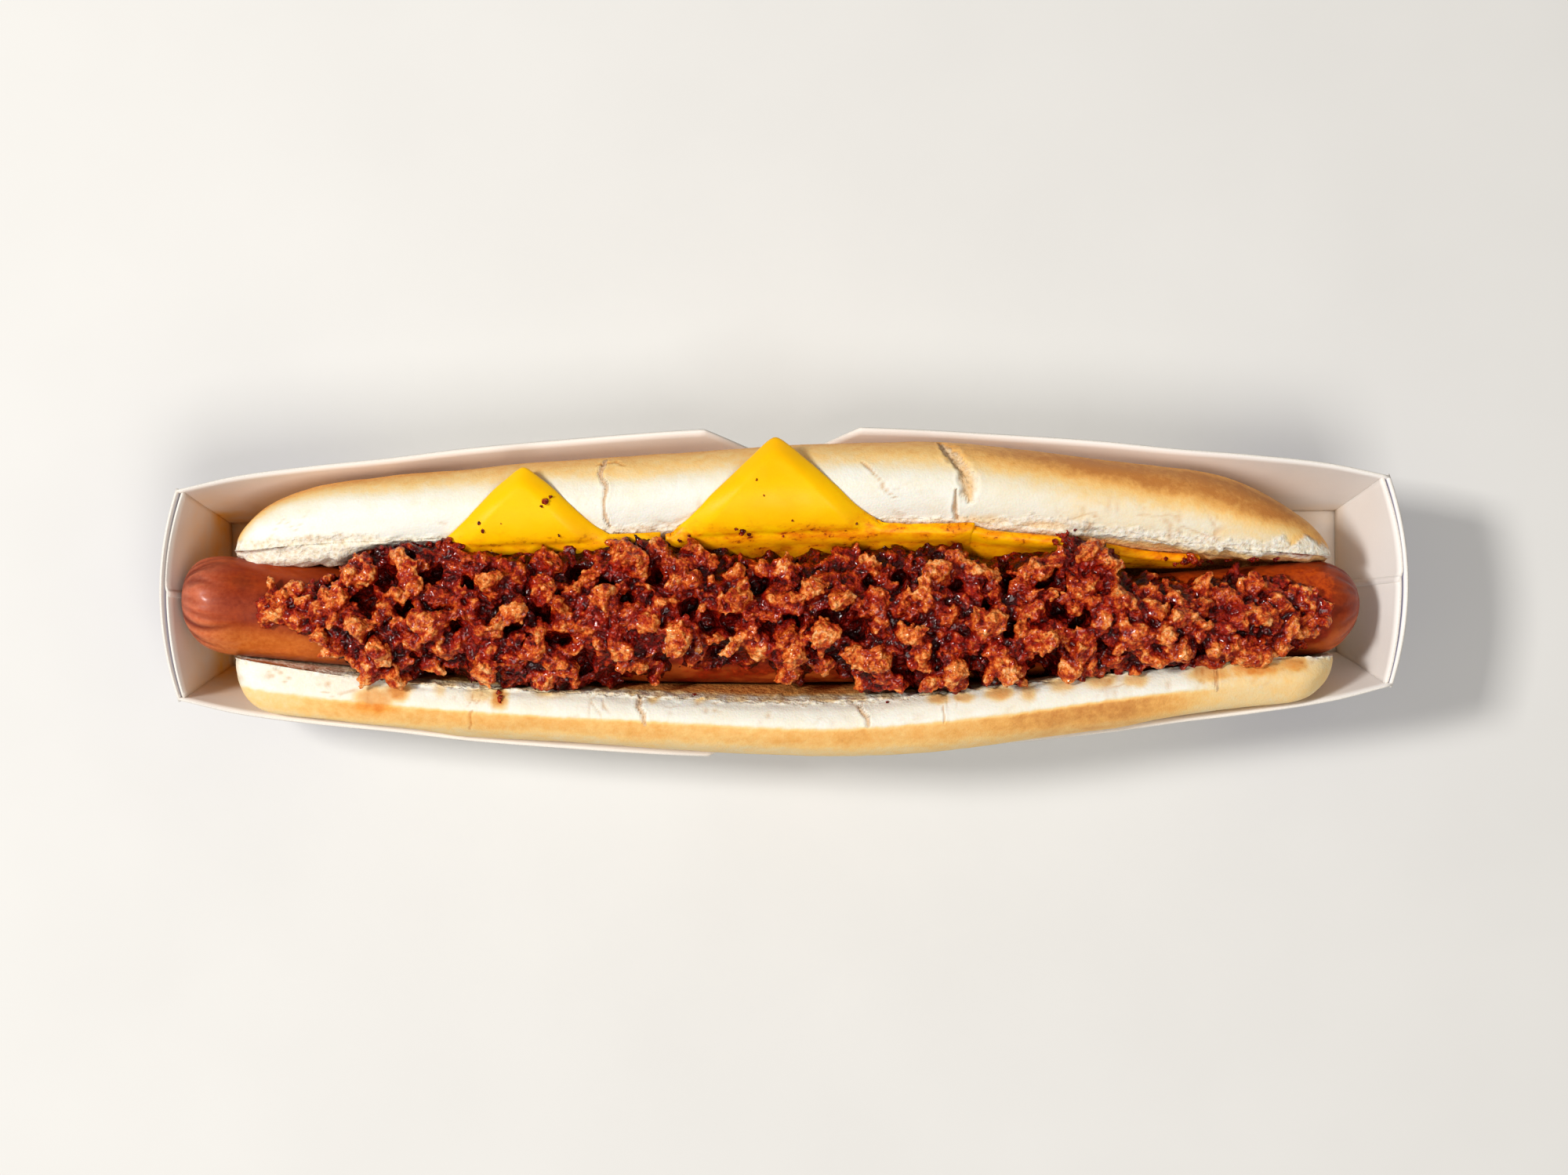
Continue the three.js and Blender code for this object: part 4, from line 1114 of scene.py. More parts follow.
    # the first and last points of the outside stay a little apart from the cut faces'
    V = V.reshape(m, k, 3)
    V[:, 0] += (0, 0.35, 0.2)
    V[:, nt - 1] += (0, -0.35, 0.2)
    V = V.reshape(-1, 3)
    V[:, 2] = np.maximum(V[:, 2], 0.7)

    # how brown the crust is
    xx, tt2 = x, T
    share_w = (y - we.repeat(k, 1).ravel()) / (wo - we).repeat(k, 1).ravel()
    share_n = (y - ne.repeat(k, 1).ravel()) / (no - ne).repeat(k, 1).ravel()
    low = step(41, 30, z)
    broad = fbm(P / (40, 12, 12), 71, 2)
    gold_from = 0.58 - 0.22 * step(60, 105, x) - 0.20 * step(100, 135, x) + 0.04 * step(-60, -120, x) + 0.16 * broad
    brown_w = 0.07 * step(0.25, 0.6, share_w) + 0.30 * step(gold_from, gold_from + 0.26, share_w) + 0.34 * step(gold_from + 0.14, gold_from + 0.44, share_w)
    brown_w = brown_w + 0.16 * step(0, 100, x) * step(0.3, 0.9, share_w) + 0.20 * step(30, 84, x)
    brown_w = brown_w + 0.22 * step(108, 132, x) * step(0.05, 0.4, share_w)
    brown_w = np.maximum(brown_w, 0.8 * step(122, 139, x) * step(-0.1, 0.15, share_w))
    side_w = mix(0.78, 0.50, step(20, 4, z))
    brown_w = mix(brown_w, side_w, step(44, 36, z))
    cut = 0.43 + 0.05 * broad + 0.03 * fbm(np.c_[x / 2.2, y / 2.2, np.zeros(len(x))], 73, 2)
    wide_gold = step(cut, cut + 0.10, share_n) * (0.60 + 0.24 * np.exp(-(((x - 80) / 26) ** 2)) - 0.26 * step(0.70, 0.92, share_n))
    brown_n = wide_gold * (1 - 0.55 * step(96, 116, x)) * (0.62 + 0.38 * step(-138, -112, x)) + 0.06
    brown_n = np.maximum(brown_n, 0.37 * step(96, 118, x) * (0.7 + 0.3 * step(0.1, 0.5, share_n)))
    side_n = mix(0.40, 0.66, step(40, 28, z))
    side_n = mix(side_n, 0.46, step(20, 4, z))
    brown_n = mix(brown_n, side_n, step(43, 37, z))
    brown = np.where(half > 0, brown_w, brown_n)
    tips = step(8, 0, np.minimum(x - BUN_LEFT_X, BUN_RIGHT_X - x)) * step(3, 9, edge_d)
    brown = np.maximum(brown, 0.5 * tips * (x > 0) + 0.12 * tips)
    brown = clamp01(brown + 0.07 * broad)

    # sauce and oil soaked into the edges
    stain = np.zeros(len(x))
    for u, v, rx, ry, amount in STAINS:
        sx, sy = place(u, v, 46)
        d = np.hypot((x - sx) / (rx * PX_AT_FOOD), (y - sy) / (ry * PX_AT_FOOD)) + 0.35 * rough
        stain = np.maximum(stain, amount * step(1.15, 0.35, d))
    stain = np.maximum(stain, soft) * outer
    soak = step(-118, -108, x) * step(137, 126, x)
    deep_face = inner_face * soak * step(2.6 + 2.0 * rough, 9.0, edge_d)
    stain = np.maximum(stain, deep_face * 0.8)
    toasty = inner_face * (half > 0) * step(52, 80, x) * step(0.4, 2.0, edge_d + rough)
    stain = np.maximum(stain, toasty * 0.5)
    rim_soak = inner_face * soak * 0.3 * (half < 0) * step(0.15, -0.1, ragged)
    stain = np.maximum(stain, rim_soak)
    stain = np.maximum(stain, inner_face * 0.16 * step(2, 9, edge_d))
    attrs = {"crust": brown, "crumb": crumb, "stain": clamp01(stain), "crack_shade": clamp01(crack_shade)}

    faces = grid_faces(m, k, wrap_n=True)
    # close both ends between the outside and the cut faces
    caps = []
    for i, base in ((0, 0), (m - 1, (m - 1) * k)):
        loop = base + np.arange(k)
        centre_a, centre_b = 0, nt - 1
        outer_loop = loop[:nt]
        inner_loop = loop[nt:][::-1]  # from the wide cut edge to the narrow one, as the outside runs
        a = np.interp(np.linspace(0, 1, 40), np.linspace(0, 1, nt), np.arange(nt)).round().astype(int)
        caps.append((outer_loop, inner_loop, i))
    tris = []
    for outer_loop, inner_loop, i in caps:
        a, b = 0, 0
        while a < len(outer_loop) - 1 or b < len(inner_loop) - 1:
            if b == len(inner_loop) - 1 or (a < len(outer_loop) - 1 and t[a + 1] <= q[min(b + 1, len(q) - 1)]):
                tri = (outer_loop[a], outer_loop[a + 1], inner_loop[b])
                a += 1
            else:
                tri = (outer_loop[a], inner_loop[b + 1], inner_loop[b])
                b += 1
            tris.append(tri if i == 0 else tri[::-1])
    return build("bun_bread", V, [faces, np.array(tris)], material, attrs, replaces=["bun"])


# Stains on the bread: middle in the frame, half sizes in pixels, strength.
STAINS = [
    (478, 892, 34, 22, 0.6),
    (508, 882, 20, 16, 0.75),
    (560, 880, 10, 12, 0.3),
    (636, 890, 15, 18, 0.8),
    (616, 884, 26, 14, 0.35),
    (700, 882, 26, 10, 0.35),
    (832, 888, 10, 10, 0.4),
    (892, 888, 10, 10, 0.45),
    (1195, 890, 18, 9, 0.6),
    (1226, 890, 16, 8, 0.5),
    (1272, 884, 22, 12, 0.62),
    (1308, 882, 12, 16, 0.45),
    (1352, 872, 24, 14, 0.4),
    (1400, 866, 30, 14, 0.5),
    (1446, 866, 20, 12, 0.5),
    (1540, 858, 34, 14, 0.55),
    (1600, 852, 40, 14, 0.7),
    (1650, 846, 22, 14, 0.6),
    (745, 668, 14, 16, 0.25),
    (1250, 664, 40, 10, 0.22),
    (1330, 672, 40, 8, 0.22),
    (1450, 692, 60, 6, 0.3),
]


# ------------------------------------------------------------------------------------------------ cheese


def cheese_lines(xs):
    """For each station the line that a slice follows, as points and lengths from the cut edge."""
    q = np.linspace(0.25, 0, 13)
    iy, iz = cut_faces(xs[:, None], q[None])
    oy, oz = crust(xs, np.arange(1, 13) / 120)
    ends = np.stack([np.stack([oy[:, -1] + 8, oz[:, -1] - 0.8], -1), np.stack([oy[:, -1] + 16, oz[:, -1] - 2.8], -1)], 1)
    L = np.concatenate([np.stack([iy, iz], -1)[:, :-1], np.stack([oy, oz], -1), ends], 1)
    soft = L.copy()
    for _ in range(2):
        soft[:, 1:-1] = (soft[:, :-2] + 2 * soft[:, 1:-1] + soft[:, 2:]) / 4
    length = np.concatenate([np.zeros((len(xs), 1)), np.cumsum(np.linalg.norm(np.diff(soft, axis=1), axis=2), 1)], 1)
    s = length - length[:, 12:13]
    lift = CUT_EDGE_CLEARANCE * np.where(s < 0, np.exp(-((s / 3) ** 2)), 1)
    lean = 0.6 * np.exp(-np.abs(s) / 6)
    soft[..., 0] -= lift * lean
    soft[..., 1] += lift * np.sqrt(1 - lean * lean)
    return soft, s


def make_slice(name, lo, hi, corner, reach, material, node, seed):
    nx, ns = (124, 66) if reach else (110, 44)
    xs = lo + (hi - lo) * ease(np.linspace(0, 1, nx)) * 0.35 + (hi - lo) * np.linspace(0, 1, nx) * 0.65
    wave = 0.55 * line1(xs, 90 + seed, 11) + 0.25 * line1(xs, 95 + seed, 4)
    if reach:
        d = np.sqrt((xs - corner) ** 2 + 0.8) - 0.55
        top = np.maximum(-1.2, reach * (1 - (0.96 * d / reach).clip(0, 9) ** 1.1))
        top = top + wave * step(0.5, 6, d) * 0.9
        top = top + 1.5 * np.exp(-np.maximum(0, (top + 1.2)) / 2.6) * step(0, 4, d)
    else:
        top = -0.7 + wave * 0.8 - 5.0 * step(74, 104, xs)
    L, S = cheese_lines(xs)
    v = np.linspace(0, 1, ns)
    v = 1 - (1 - v) ** 1.12
    SS = mix(-CHEESE_DEPTH, top[:, None], v[None])
    P = np.zeros((nx, ns, 3))
    P[..., 0] = xs[:, None]
    for i in range(nx):
        P[i, :, 1] = np.interp(SS[i], S[i], L[i, :, 0])
        P[i, :, 2] = np.interp(SS[i], S[i], L[i, :, 1])
    # a slice is soft, so it has no kinks
    for _ in range(10):
        Q = P.copy()
        Q[:, 1:-1] = (P[:, :-2] + 2 * P[:, 1:-1] + P[:, 2:]) / 4
        Q[1:-1] = (Q[:-2] + 2 * Q[1:-1] + Q[2:]) / 4
        Q[..., 0] = P[..., 0]
        Q[:, 0], Q[:, -1] = P[:, 0], P[:, -1]
        P = Q
    N = grid_normals(P)
    if N[nx // 2, -2, 2] < 0:
        N = -N
    slope = 0.72 if reach else 1.0
    d_edge = np.minimum.reduce([(top[:, None] - SS) * slope + 0.001, np.broadcast_to((xs - lo)[:, None], SS.shape), np.broadcast_to((hi - xs)[:, None], SS.shape), SS + CHEESE_DEPTH + 0.3])
    r = 1.15 + 1.5 * step(0, 3, SS)
    prof = np.sqrt(np.clip(1 - (1 - clamp01(d_edge / r)) ** 2, 0.0025, 1))
    flat = P.reshape(-1, 3)
    ripple = (0.28 * fbm(flat / (15, 9, 9), 100 + seed, 2)).reshape(SS.shape) * clamp01(d_edge / 3)
    # the middle slice's edge lies over the right one's
    mid = CHEESE_GAP + CHEESE_THICKNESS / 2 - (0.9 * step(54, 49, xs)[:, None] if seed == 3 else 0)
    # the lower strip sags against the sauce
    sag = 0.35 * np.exp(-(((SS + 3.0) / 2.0) ** 2))
    crease = 0.42 * np.exp(-(((SS + 0.2 + 0.4 * wave[:, None]) / 0.75) ** 2)) * clamp01(d_edge / 2)
    up = P + N * (mid + ripple + CHEESE_THICKNESS / 2 * prof + sag - crease)[..., None]
    melted = step(4.5, 0, d_edge) * step(-1, 1.5, SS)
    joined = step(hi - 6, hi, xs)[:, None] * step(2, -1, SS) if seed == 2 else 0 * SS
    sunk = 1.75 * melted + 0.9 * joined
    up = up - N * sunk[..., None]
    down = P + N * (mid - CHEESE_THICKNESS / 2 * prof - sunk)[..., None]
    V = np.concatenate([up.reshape(-1, 3), down.reshape(-1, 3)])
    a = grid_faces(nx, ns)
    b = grid_faces(nx, ns, offset=nx * ns)[:, ::-1]
    ring = [(i, 0) for i in range(nx)] + [(nx - 1, j) for j in range(1, ns)] + [(i, ns - 1) for i in range(nx - 2, -1, -1)] + [(0, j) for j in range(ns - 2, 0, -1)]
    r1 = np.array([i * ns + j for i, j in ring])
    r2 = np.roll(r1, -1)
    rim = np.stack([r1, r1 + nx * ns, r2 + nx * ns, r2], -1)
    # painted shade where the slice folds down into the split
    fold_shade = clamp01(step(0.6, -1.6, SS) * (0.65 if reach else 0.4) + step(-1.5, -6, SS) * 0.6)
    near = np.exp(-(((SS + 0.4) / 2.2) ** 2)) + 0.9 * step(-3.0, -5.5, SS) + 0.18 * step(6, 1, SS)
    smear = clamp01(near * {1: 0.5, 2: 1.0, 3: 0.8}[seed] + (0.6 * step(66, 84, xs)[:, None] if seed == 3 else 0))
    attrs = {"fold_shade": np.tile(fold_shade.ravel(), 2), "smear": np.tile(smear.ravel(), 2)}
    return build(name, V, [a, b, rim], material, attrs, replaces=[node])


# ------------------------------------------------------------------------------------------------ meat sauce

# The outline of the meat in the frame: across, its far edge and its near edge.
MEAT_FAR = [(326, 770), (340, 754), (400, 744), (424, 738), (434, 716), (470, 703), (500, 699), (560, 694), (600, 698), (640, 701), (700, 706), (755, 699), (778, 686), (835, 684), (852, 693), (900, 694), (925, 706), (1000, 708), (1040, 702),
            (1100, 698), (1150, 699), (1185, 694), (1215, 689), (1240, 706), (1262, 711), (1300, 706), (1345, 700), (1362, 686), (1412, 688), (1428, 716), (1450, 734), (1500, 738), (1560, 735), (1640, 738), (1676, 748), (1700, 772)]
MEAT_NEAR = [(326, 784), (340, 797), (400, 812), (424, 834), (450, 850), (466, 868), (512, 870), (530, 862), (570, 860), (600, 872), (650, 878), (730, 881), (770, 872), (800, 866), (835, 860), (860, 854), (980, 846), (992, 872), (1012, 876),
             (1030, 862), (1084, 862), (1098, 884), (1150, 888), (1160, 876), (1176, 885), (1230, 884), (1240, 860), (1256, 880), (1304, 878), (1314, 856), (1338, 854), (1350, 868), (1380, 868), (1400, 862), (1450, 860), (1560, 852), (1600, 850), (1640, 840), (1664, 822), (1684, 804), (1700, 790)]

_fx = np.array([place(u, v, 49)[0] for u, v in MEAT_FAR])
_fy = np.array([place(u, v, 49)[1] for u, v in MEAT_FAR])
_nx = np.array([place(u, v, 46)[0] for u, v in MEAT_NEAR])
_ny = np.array([place(u, v, 46)[1] for u, v in MEAT_NEAR])
MEAT_LEFT_X, MEAT_RIGHT_X = max(_fx[0], _nx[0]), min(_fx[-1], _nx[-1])

# Hollows where the heap opens down to the dark sauce: middle in the frame and radius in pixels.
HOLLOWS = [
    (492, 738, 15), (470, 765, 14), (452, 772, 9), (556, 732, 13), (600, 745, 9), (628, 775, 9), (655, 804, 8), (690, 780, 12), (712, 815, 11), (735, 735, 10),
    (778, 745, 10), (800, 762, 9), (838, 735, 9), (903, 792, 14), (880, 775, 9), (932, 798, 13), (966, 748, 12), (1066, 782, 14), (1092, 800, 14),
    (1112, 742, 9), (1148, 738, 10), (1222, 748, 9), (1252, 772, 9), (1283, 722, 10), (1284, 745, 9), (1283, 800, 8), (1330, 742, 11), (1345, 778, 10), (1376, 790, 14),
    (1400, 832, 11), (1330, 850, 14), (1240, 866, 12), (1150, 852, 13), (1056, 862, 14), (1480, 800, 8), (1526, 832, 11), (1560, 778, 7),
    (560, 850, 11), (700, 862, 11), (742, 848, 12), (610, 864, 9), (856, 842, 14), (920, 834, 15), (980, 800, 8), (1010, 790, 9), (520, 775, 8), (584, 800, 8),
]

# Clumps that stand out: middle in the frame, length and width in pixels, turn in degrees, tint, extra height mm.
MARKED = [
    (543, 800, 54, 40, -30, 0.85, 0.8),
    (446, 736, 24, 20, 60, 0.7, 0.6),
    (460, 716, 30, 18, 30, 0.6, 0.3),
    (512, 716, 40, 20, -40, 0.8, 0.8),
    (455, 800, 50, 34, -50, 0.8, 0.8),
    (484, 830, 44, 30, -60, 0.8, 0.8),
    (500, 862, 34, 26, -50, 0.75, 0.4),
    (622, 742, 50, 26, 75, 0.85, 1.2),
    (648, 786, 64, 26, 40, 0.85, 0.8),
    (704, 722, 54, 40, 10, 0.3, 0.6),
    (690, 752, 34, 30, 70, 0.5, 0.4),
    (806, 722, 40, 40, 80, 0.25, 0.6),
    (768, 762, 46, 22, 65, 0.85, 0.9),
    (860, 812, 54, 34, -60, 0.85, 0.9),
    (832, 790, 34, 26, -10, 0.6, 0.4),
    (815, 848, 50, 18, -12, 0.7, 0.2),
    (770, 870, 40, 16, -8, 0.7, 0.0),
    (700, 868, 50, 24, 5, 0.5, 0.2),
    (616, 852, 40, 34, 40, 0.75, 0.4),
    (544, 846, 30, 26, 0, 0.7, 0.3),
    (938, 764, 34, 28, 35, 0.75, 0.9),
    (940, 728, 30, 26, 0, 0.6, 0.3),
    (1003, 730, 44, 28, 20, 0.5, 0.5),
    (1040, 750, 54, 30, 10, 0.75, 0.8),
    (1072, 764, 40, 28, 0, 0.7, 0.6),
    (1050, 806, 58, 28, 40, 0.95, 1.0),
    (1015, 832, 44, 30, 50, 0.9, 0.8),
    (1002, 860, 36, 24, 75, 0.9, 0.4),
    (936, 824, 44, 12, 45, 0.9, 0.3),
    (976, 828, 40, 40, 0, 0.45, 0.2),
    (1190, 730, 56, 26, 25, 0.9, 1.0),
    (1240, 728, 56, 22, -8, 0.85, 0.9),
    (1176, 752, 30, 24, 80, 0.85, 0.6),
    (1170, 808, 44, 26, -20, 0.95, 0.7),
    (1258, 796, 40, 52, 80, 0.55, 0.6),
    (1214, 860, 56, 30, 15, 0.8, 0.5),
    (1186, 872, 30, 22, 0, 0.7, 0.2),
    (1278, 856, 44, 42, -30, 0.9, 0.9),
    (1122, 846, 50, 46, -20, 0.6, 0.3),
    (1092, 838, 30, 34, 60, 0.75, 0.4),
    (1330, 814, 56, 52, 45, 0.75, 1.2),
    (1396, 706, 48, 42, -20, 0.4, 0.8),
    (1322, 728, 44, 26, 20, 0.85, 0.7),
    (1404, 846, 36, 30, 60, 0.75, 0.4),
    (1368, 856, 34, 30, 0, 0.8, 0.4),
    (1432, 770, 40, 34, 30, 0.5, 0.3),
    (1510, 788, 50, 20, 5, 0.95, 0.7),
    (1546, 748, 26, 26, 80, 0.95, 0.5),
    (1486, 812, 34, 26, 20, 0.85, 0.5),
    (1600, 836, 56, 28, 5, 0.75, 0.5),
    (1612, 790, 36, 24, 0, 0.6, 0.3),
    (1470, 740, 30, 22, 0, 0.6, 0.2),
    (1582, 730, 22, 18, 60, 0.8, 0.2),
    (348, 782, 24, 18, 20, 0.75, 0.3),
    (386, 768, 22, 16, 10, 0.8, 0.3),
    (372, 796, 20, 16, 0, 0.6, 0.1),
    (410, 776, 22, 18, 0, 0.6, 0.1),
]


def meat_edges(x):
    return np.interp(x, _fx, _fy), np.interp(x, _nx, _ny)


def support(x, y):
    """Height of the sausage, bread or cheese under the heap."""
    fy, fz, edge = frank_y(x), frank_z(x), cut_edge_z(x)
    r = np.maximum(1.0, frank_radius(np.clip(x, FRANK_LEFT_X + 0.2, FRANK_RIGHT_X - 0.2)) + 0.2)
    top = fz + np.sqrt(np.maximum(0, r * r - (y - fy) ** 2))
    near = mix(fz, edge, clamp01((fy - r - y) / np.maximum(0.5, fy - r - narrow_cut_edge(x))))
    far = mix(fz, edge, clamp01((y - fy - r) / np.maximum(0.5, wide_cut_edge(x) - fy - r))) + 2.6
    return np.maximum(top, np.where(y < fy - r, near, np.where(y > fy + r, far, 0)))


def heap_top(x, y):
    """Height of the heap's smooth top over a point."""
    x, y = np.atleast_1d(np.asarray(x, float)), np.atleast_1d(np.asarray(y, float))
    far, near = meat_edges(x)
    start = ease(clamp01((x - HEAP_LEFT_X) / (HEAP_FULL_FROM_X - HEAP_LEFT_X)) ** 2)
    stop = ease(clamp01((x - HEAP_FULL_TO_X) / (HEAP_RIGHT_X - HEAP_FULL_TO_X)))
    z = frank_z(x)
    crest = mix(mix(z + 14.6, HEAP_CREST_Z - 0.4, start), z + 16.6 - 2.0 * step(128, 141, x), stop)
    t = clamp01((y - far) / (near - far))
    arch = (1 - np.abs(2 * t - 1) ** 2.6) ** 0.75
    base = mix(np.maximum(support(x, far), 37.0) + 0.6, np.maximum(support(x, near), 36.0) + 0.3, t)
    return np.maximum(mix(base, crest, arch), support(x, y) + 0.2)


_hollows = [(*place(u, v, 48), r * PX_AT_FOOD) for u, v, r in HOLLOWS]


def hollowness(x, y):
    p = np.c_[x / 3.0, y / 3.0, np.zeros(len(x))]
    xw = x + 1.3 * perlin(p, 211)
    yw = y + 1.3 * perlin(p + 7.3, 212)
    out = np.zeros(len(x))
    for a, b, r in _hollows:
        out = np.maximum(out, step(1.45, 0.55, np.hypot(xw - a, yw - b) / r))
    return out


def core_top(x, y):
    """The thick sauce between the clumps, with relief, and deep where the heap opens."""
    x, y = np.atleast_1d(x).astype(float), np.atleast_1d(y).astype(float)
    h = heap_top(x, y)
    over = np.maximum(0, h - support(x, y))
    p = np.c_[x, y, np.zeros(len(x))]
    c1, _ = cells(p / 4.4, 203)
    relief = 0.9 * fbm(p / 6.5, 205, 3) + 0.8 * (0.5 - c1)
    sunk = np.minimum(over * 0.7, 1.9) - relief
    return h - sunk - np.minimum(over, 7.4) * 0.84 * hollowness(x, y)


BALL2 = ico(2)
BALL3 = ico(3)


def rough_balls(ball, C, R, rng, stretch=0.25, rough=0.3):
    """Rough, stretched balls of radii R at C as one mesh."""
    b, f = ball
    n, m = len(C), len(b)
    q = rng.normal(size=(n, 4))
    q /= np.linalg.norm(q, axis=1, keepdims=True)
    w, x, y, z = q.T
    M = np.stack([1 - 2 * (y * y + z * z), 2 * (x * y - w * z), 2 * (x * z + w * y), 2 * (x * y + w * z), 1 - 2 * (x * x + z * z), 2 * (y * z - w * x), 2 * (x * z - w * y), 2 * (y * z + w * x), 1 - 2 * (x * x + y * y)], -1).reshape(n, 3, 3)
    S = R[:, None] * np.exp(stretch * rng.normal(size=(n, 3)))
    at = (b[None] * 1.5 + rng.uniform(0, 90, (n, 1, 3))).reshape(-1, 3)
    k = 1 + rough * perlin(at, 901).reshape(n, m) * 1.6 + 0.5 * rough * perlin(at * 2.3, 902).reshape(n, m)
    P = b[None] * k[..., None] * S[:, None]
    P = np.einsum("nij,nmj->nmi", M, P) + C[:, None]
    F = (f[None] + (np.arange(n) * m)[:, None, None]).reshape(-1, 3)
    return P.reshape(-1, 3), F


def clump_parts(rng, a, b, c, grain_lo=0.4, grain_hi=1.25, density=0.5):
    """Lumps that make a clump's body and the grains on it, in the clump's own frame: centres and radii."""
    small = min(b, c)
    count = int(np.clip(round(a * b / small**2 * 4.0), 3, 16))
    d = rng.normal(size=(count, 3))
    d *= (rng.random(count) ** 0.5 / np.linalg.norm(d, axis=1))[:, None]
    body = d * (a * 0.66, b * 0.56, c * 0.45)
    body_r = rng.uniform(0.42, 0.66, count) * small
    share = body_r**2 / (body_r**2).sum()
    n = int(density * 4 * np.pi * (a * b + a * c + b * c) / 3 * 1.7)
    k = rng.choice(count, n, p=share)
    d = rng.normal(size=(n, 3))
    d /= np.linalg.norm(d, axis=1, keepdims=True)
    d[:, 2] = np.where(d[:, 2] < -0.3, -d[:, 2], d[:, 2])
    grains = body[k] + d * (body_r[k] * rng.uniform(0.9, 1.2, n))[:, None]
    grains_r = mix(grain_lo, grain_hi, rng.random(n) ** 1.9)
    return body, body_r, grains, grains_r


def rotation(yaw, tilt, roll):
    cy, sy, ct, st, cr, sr = math.cos(yaw), math.sin(yaw), math.cos(tilt), math.sin(tilt), math.cos(roll), math.sin(roll)
    return np.array([[cy, -sy, 0], [sy, cy, 0], [0, 0, 1]]) @ np.array([[ct, 0, st], [0, 1, 0], [-st, 0, ct]]) @ np.array([[1, 0, 0], [0, cr, -sr], [0, sr, cr]])


def core_solid(x0, x1):
    xs = np.linspace(x0, x1, max(12, int((x1 - x0) / 0.8)))
    w = np.linspace(0, 1, 52)
    far, near = meat_edges(xs)
    tip = np.sqrt(clamp01(np.minimum(xs - MEAT_LEFT_X, MEAT_RIGHT_X - xs) / 5 + 0.02))
    mid = (far + near) / 2
    far, near = mix(mid, far - 0.5, tip), mix(mid, near + 0.5, tip)
    X = np.repeat(xs[:, None], len(w), 1)
    Y = mix(far[:, None], near[:, None], w[None])
    top = core_top(X.ravel(), Y.ravel()).reshape(X.shape)
    under = support(X.ravel(), Y.ravel()).reshape(X.shape) - 1.6
    under = np.minimum(under, top - 0.8)
    V = np.concatenate([np.stack([X, Y, top], -1).reshape(-1, 3), np.stack([X, Y, under], -1).reshape(-1, 3)])
    m, k = X.shape
    ring = [(i, 0) for i in range(m)] + [(m - 1, j) for j in range(1, k)] + [(i, k - 1) for i in range(m - 2, -1, -1)] + [(0, j) for j in range(k - 2, 0, -1)]
    r = np.array([i * k + j for i, j in ring])
    r2 = np.roll(r, -1)
    F = np.concatenate([grid_faces(m, k), grid_faces(m, k, offset=m * k)[:, ::-1], np.stack([r, r + m * k, r2 + m * k, r2], -1)])
    F = np.concatenate([F[:, [0, 1, 2]], F[:, [0, 2, 3]]])
    return V, F


def scatter(rng, count, r_of, spacing, inset, avoid=()):
    """Places with room between them: darts thrown over the heap."""
    got = []
    for _ in range(count * 60):
        if len(got) >= count:
            break
        x = rng.uniform(MEAT_LEFT_X, MEAT_RIGHT_X)
        far, near = meat_edges(x)
        y = rng.uniform(near, far)
        r = r_of(rng)
        if not (near + r * inset < y < far - r * inset and MEAT_LEFT_X + r * inset < x < MEAT_RIGHT_X - r * inset):
            continue
        if any(math.hypot(x - a, y - b) < spacing * (r + c) for a, b, c in got):
            continue
        if any(math.hypot(x - a, y - b) < c + r * 0.5 for a, b, c in avoid):
            continue
        got.append((x, y, r))
    return got


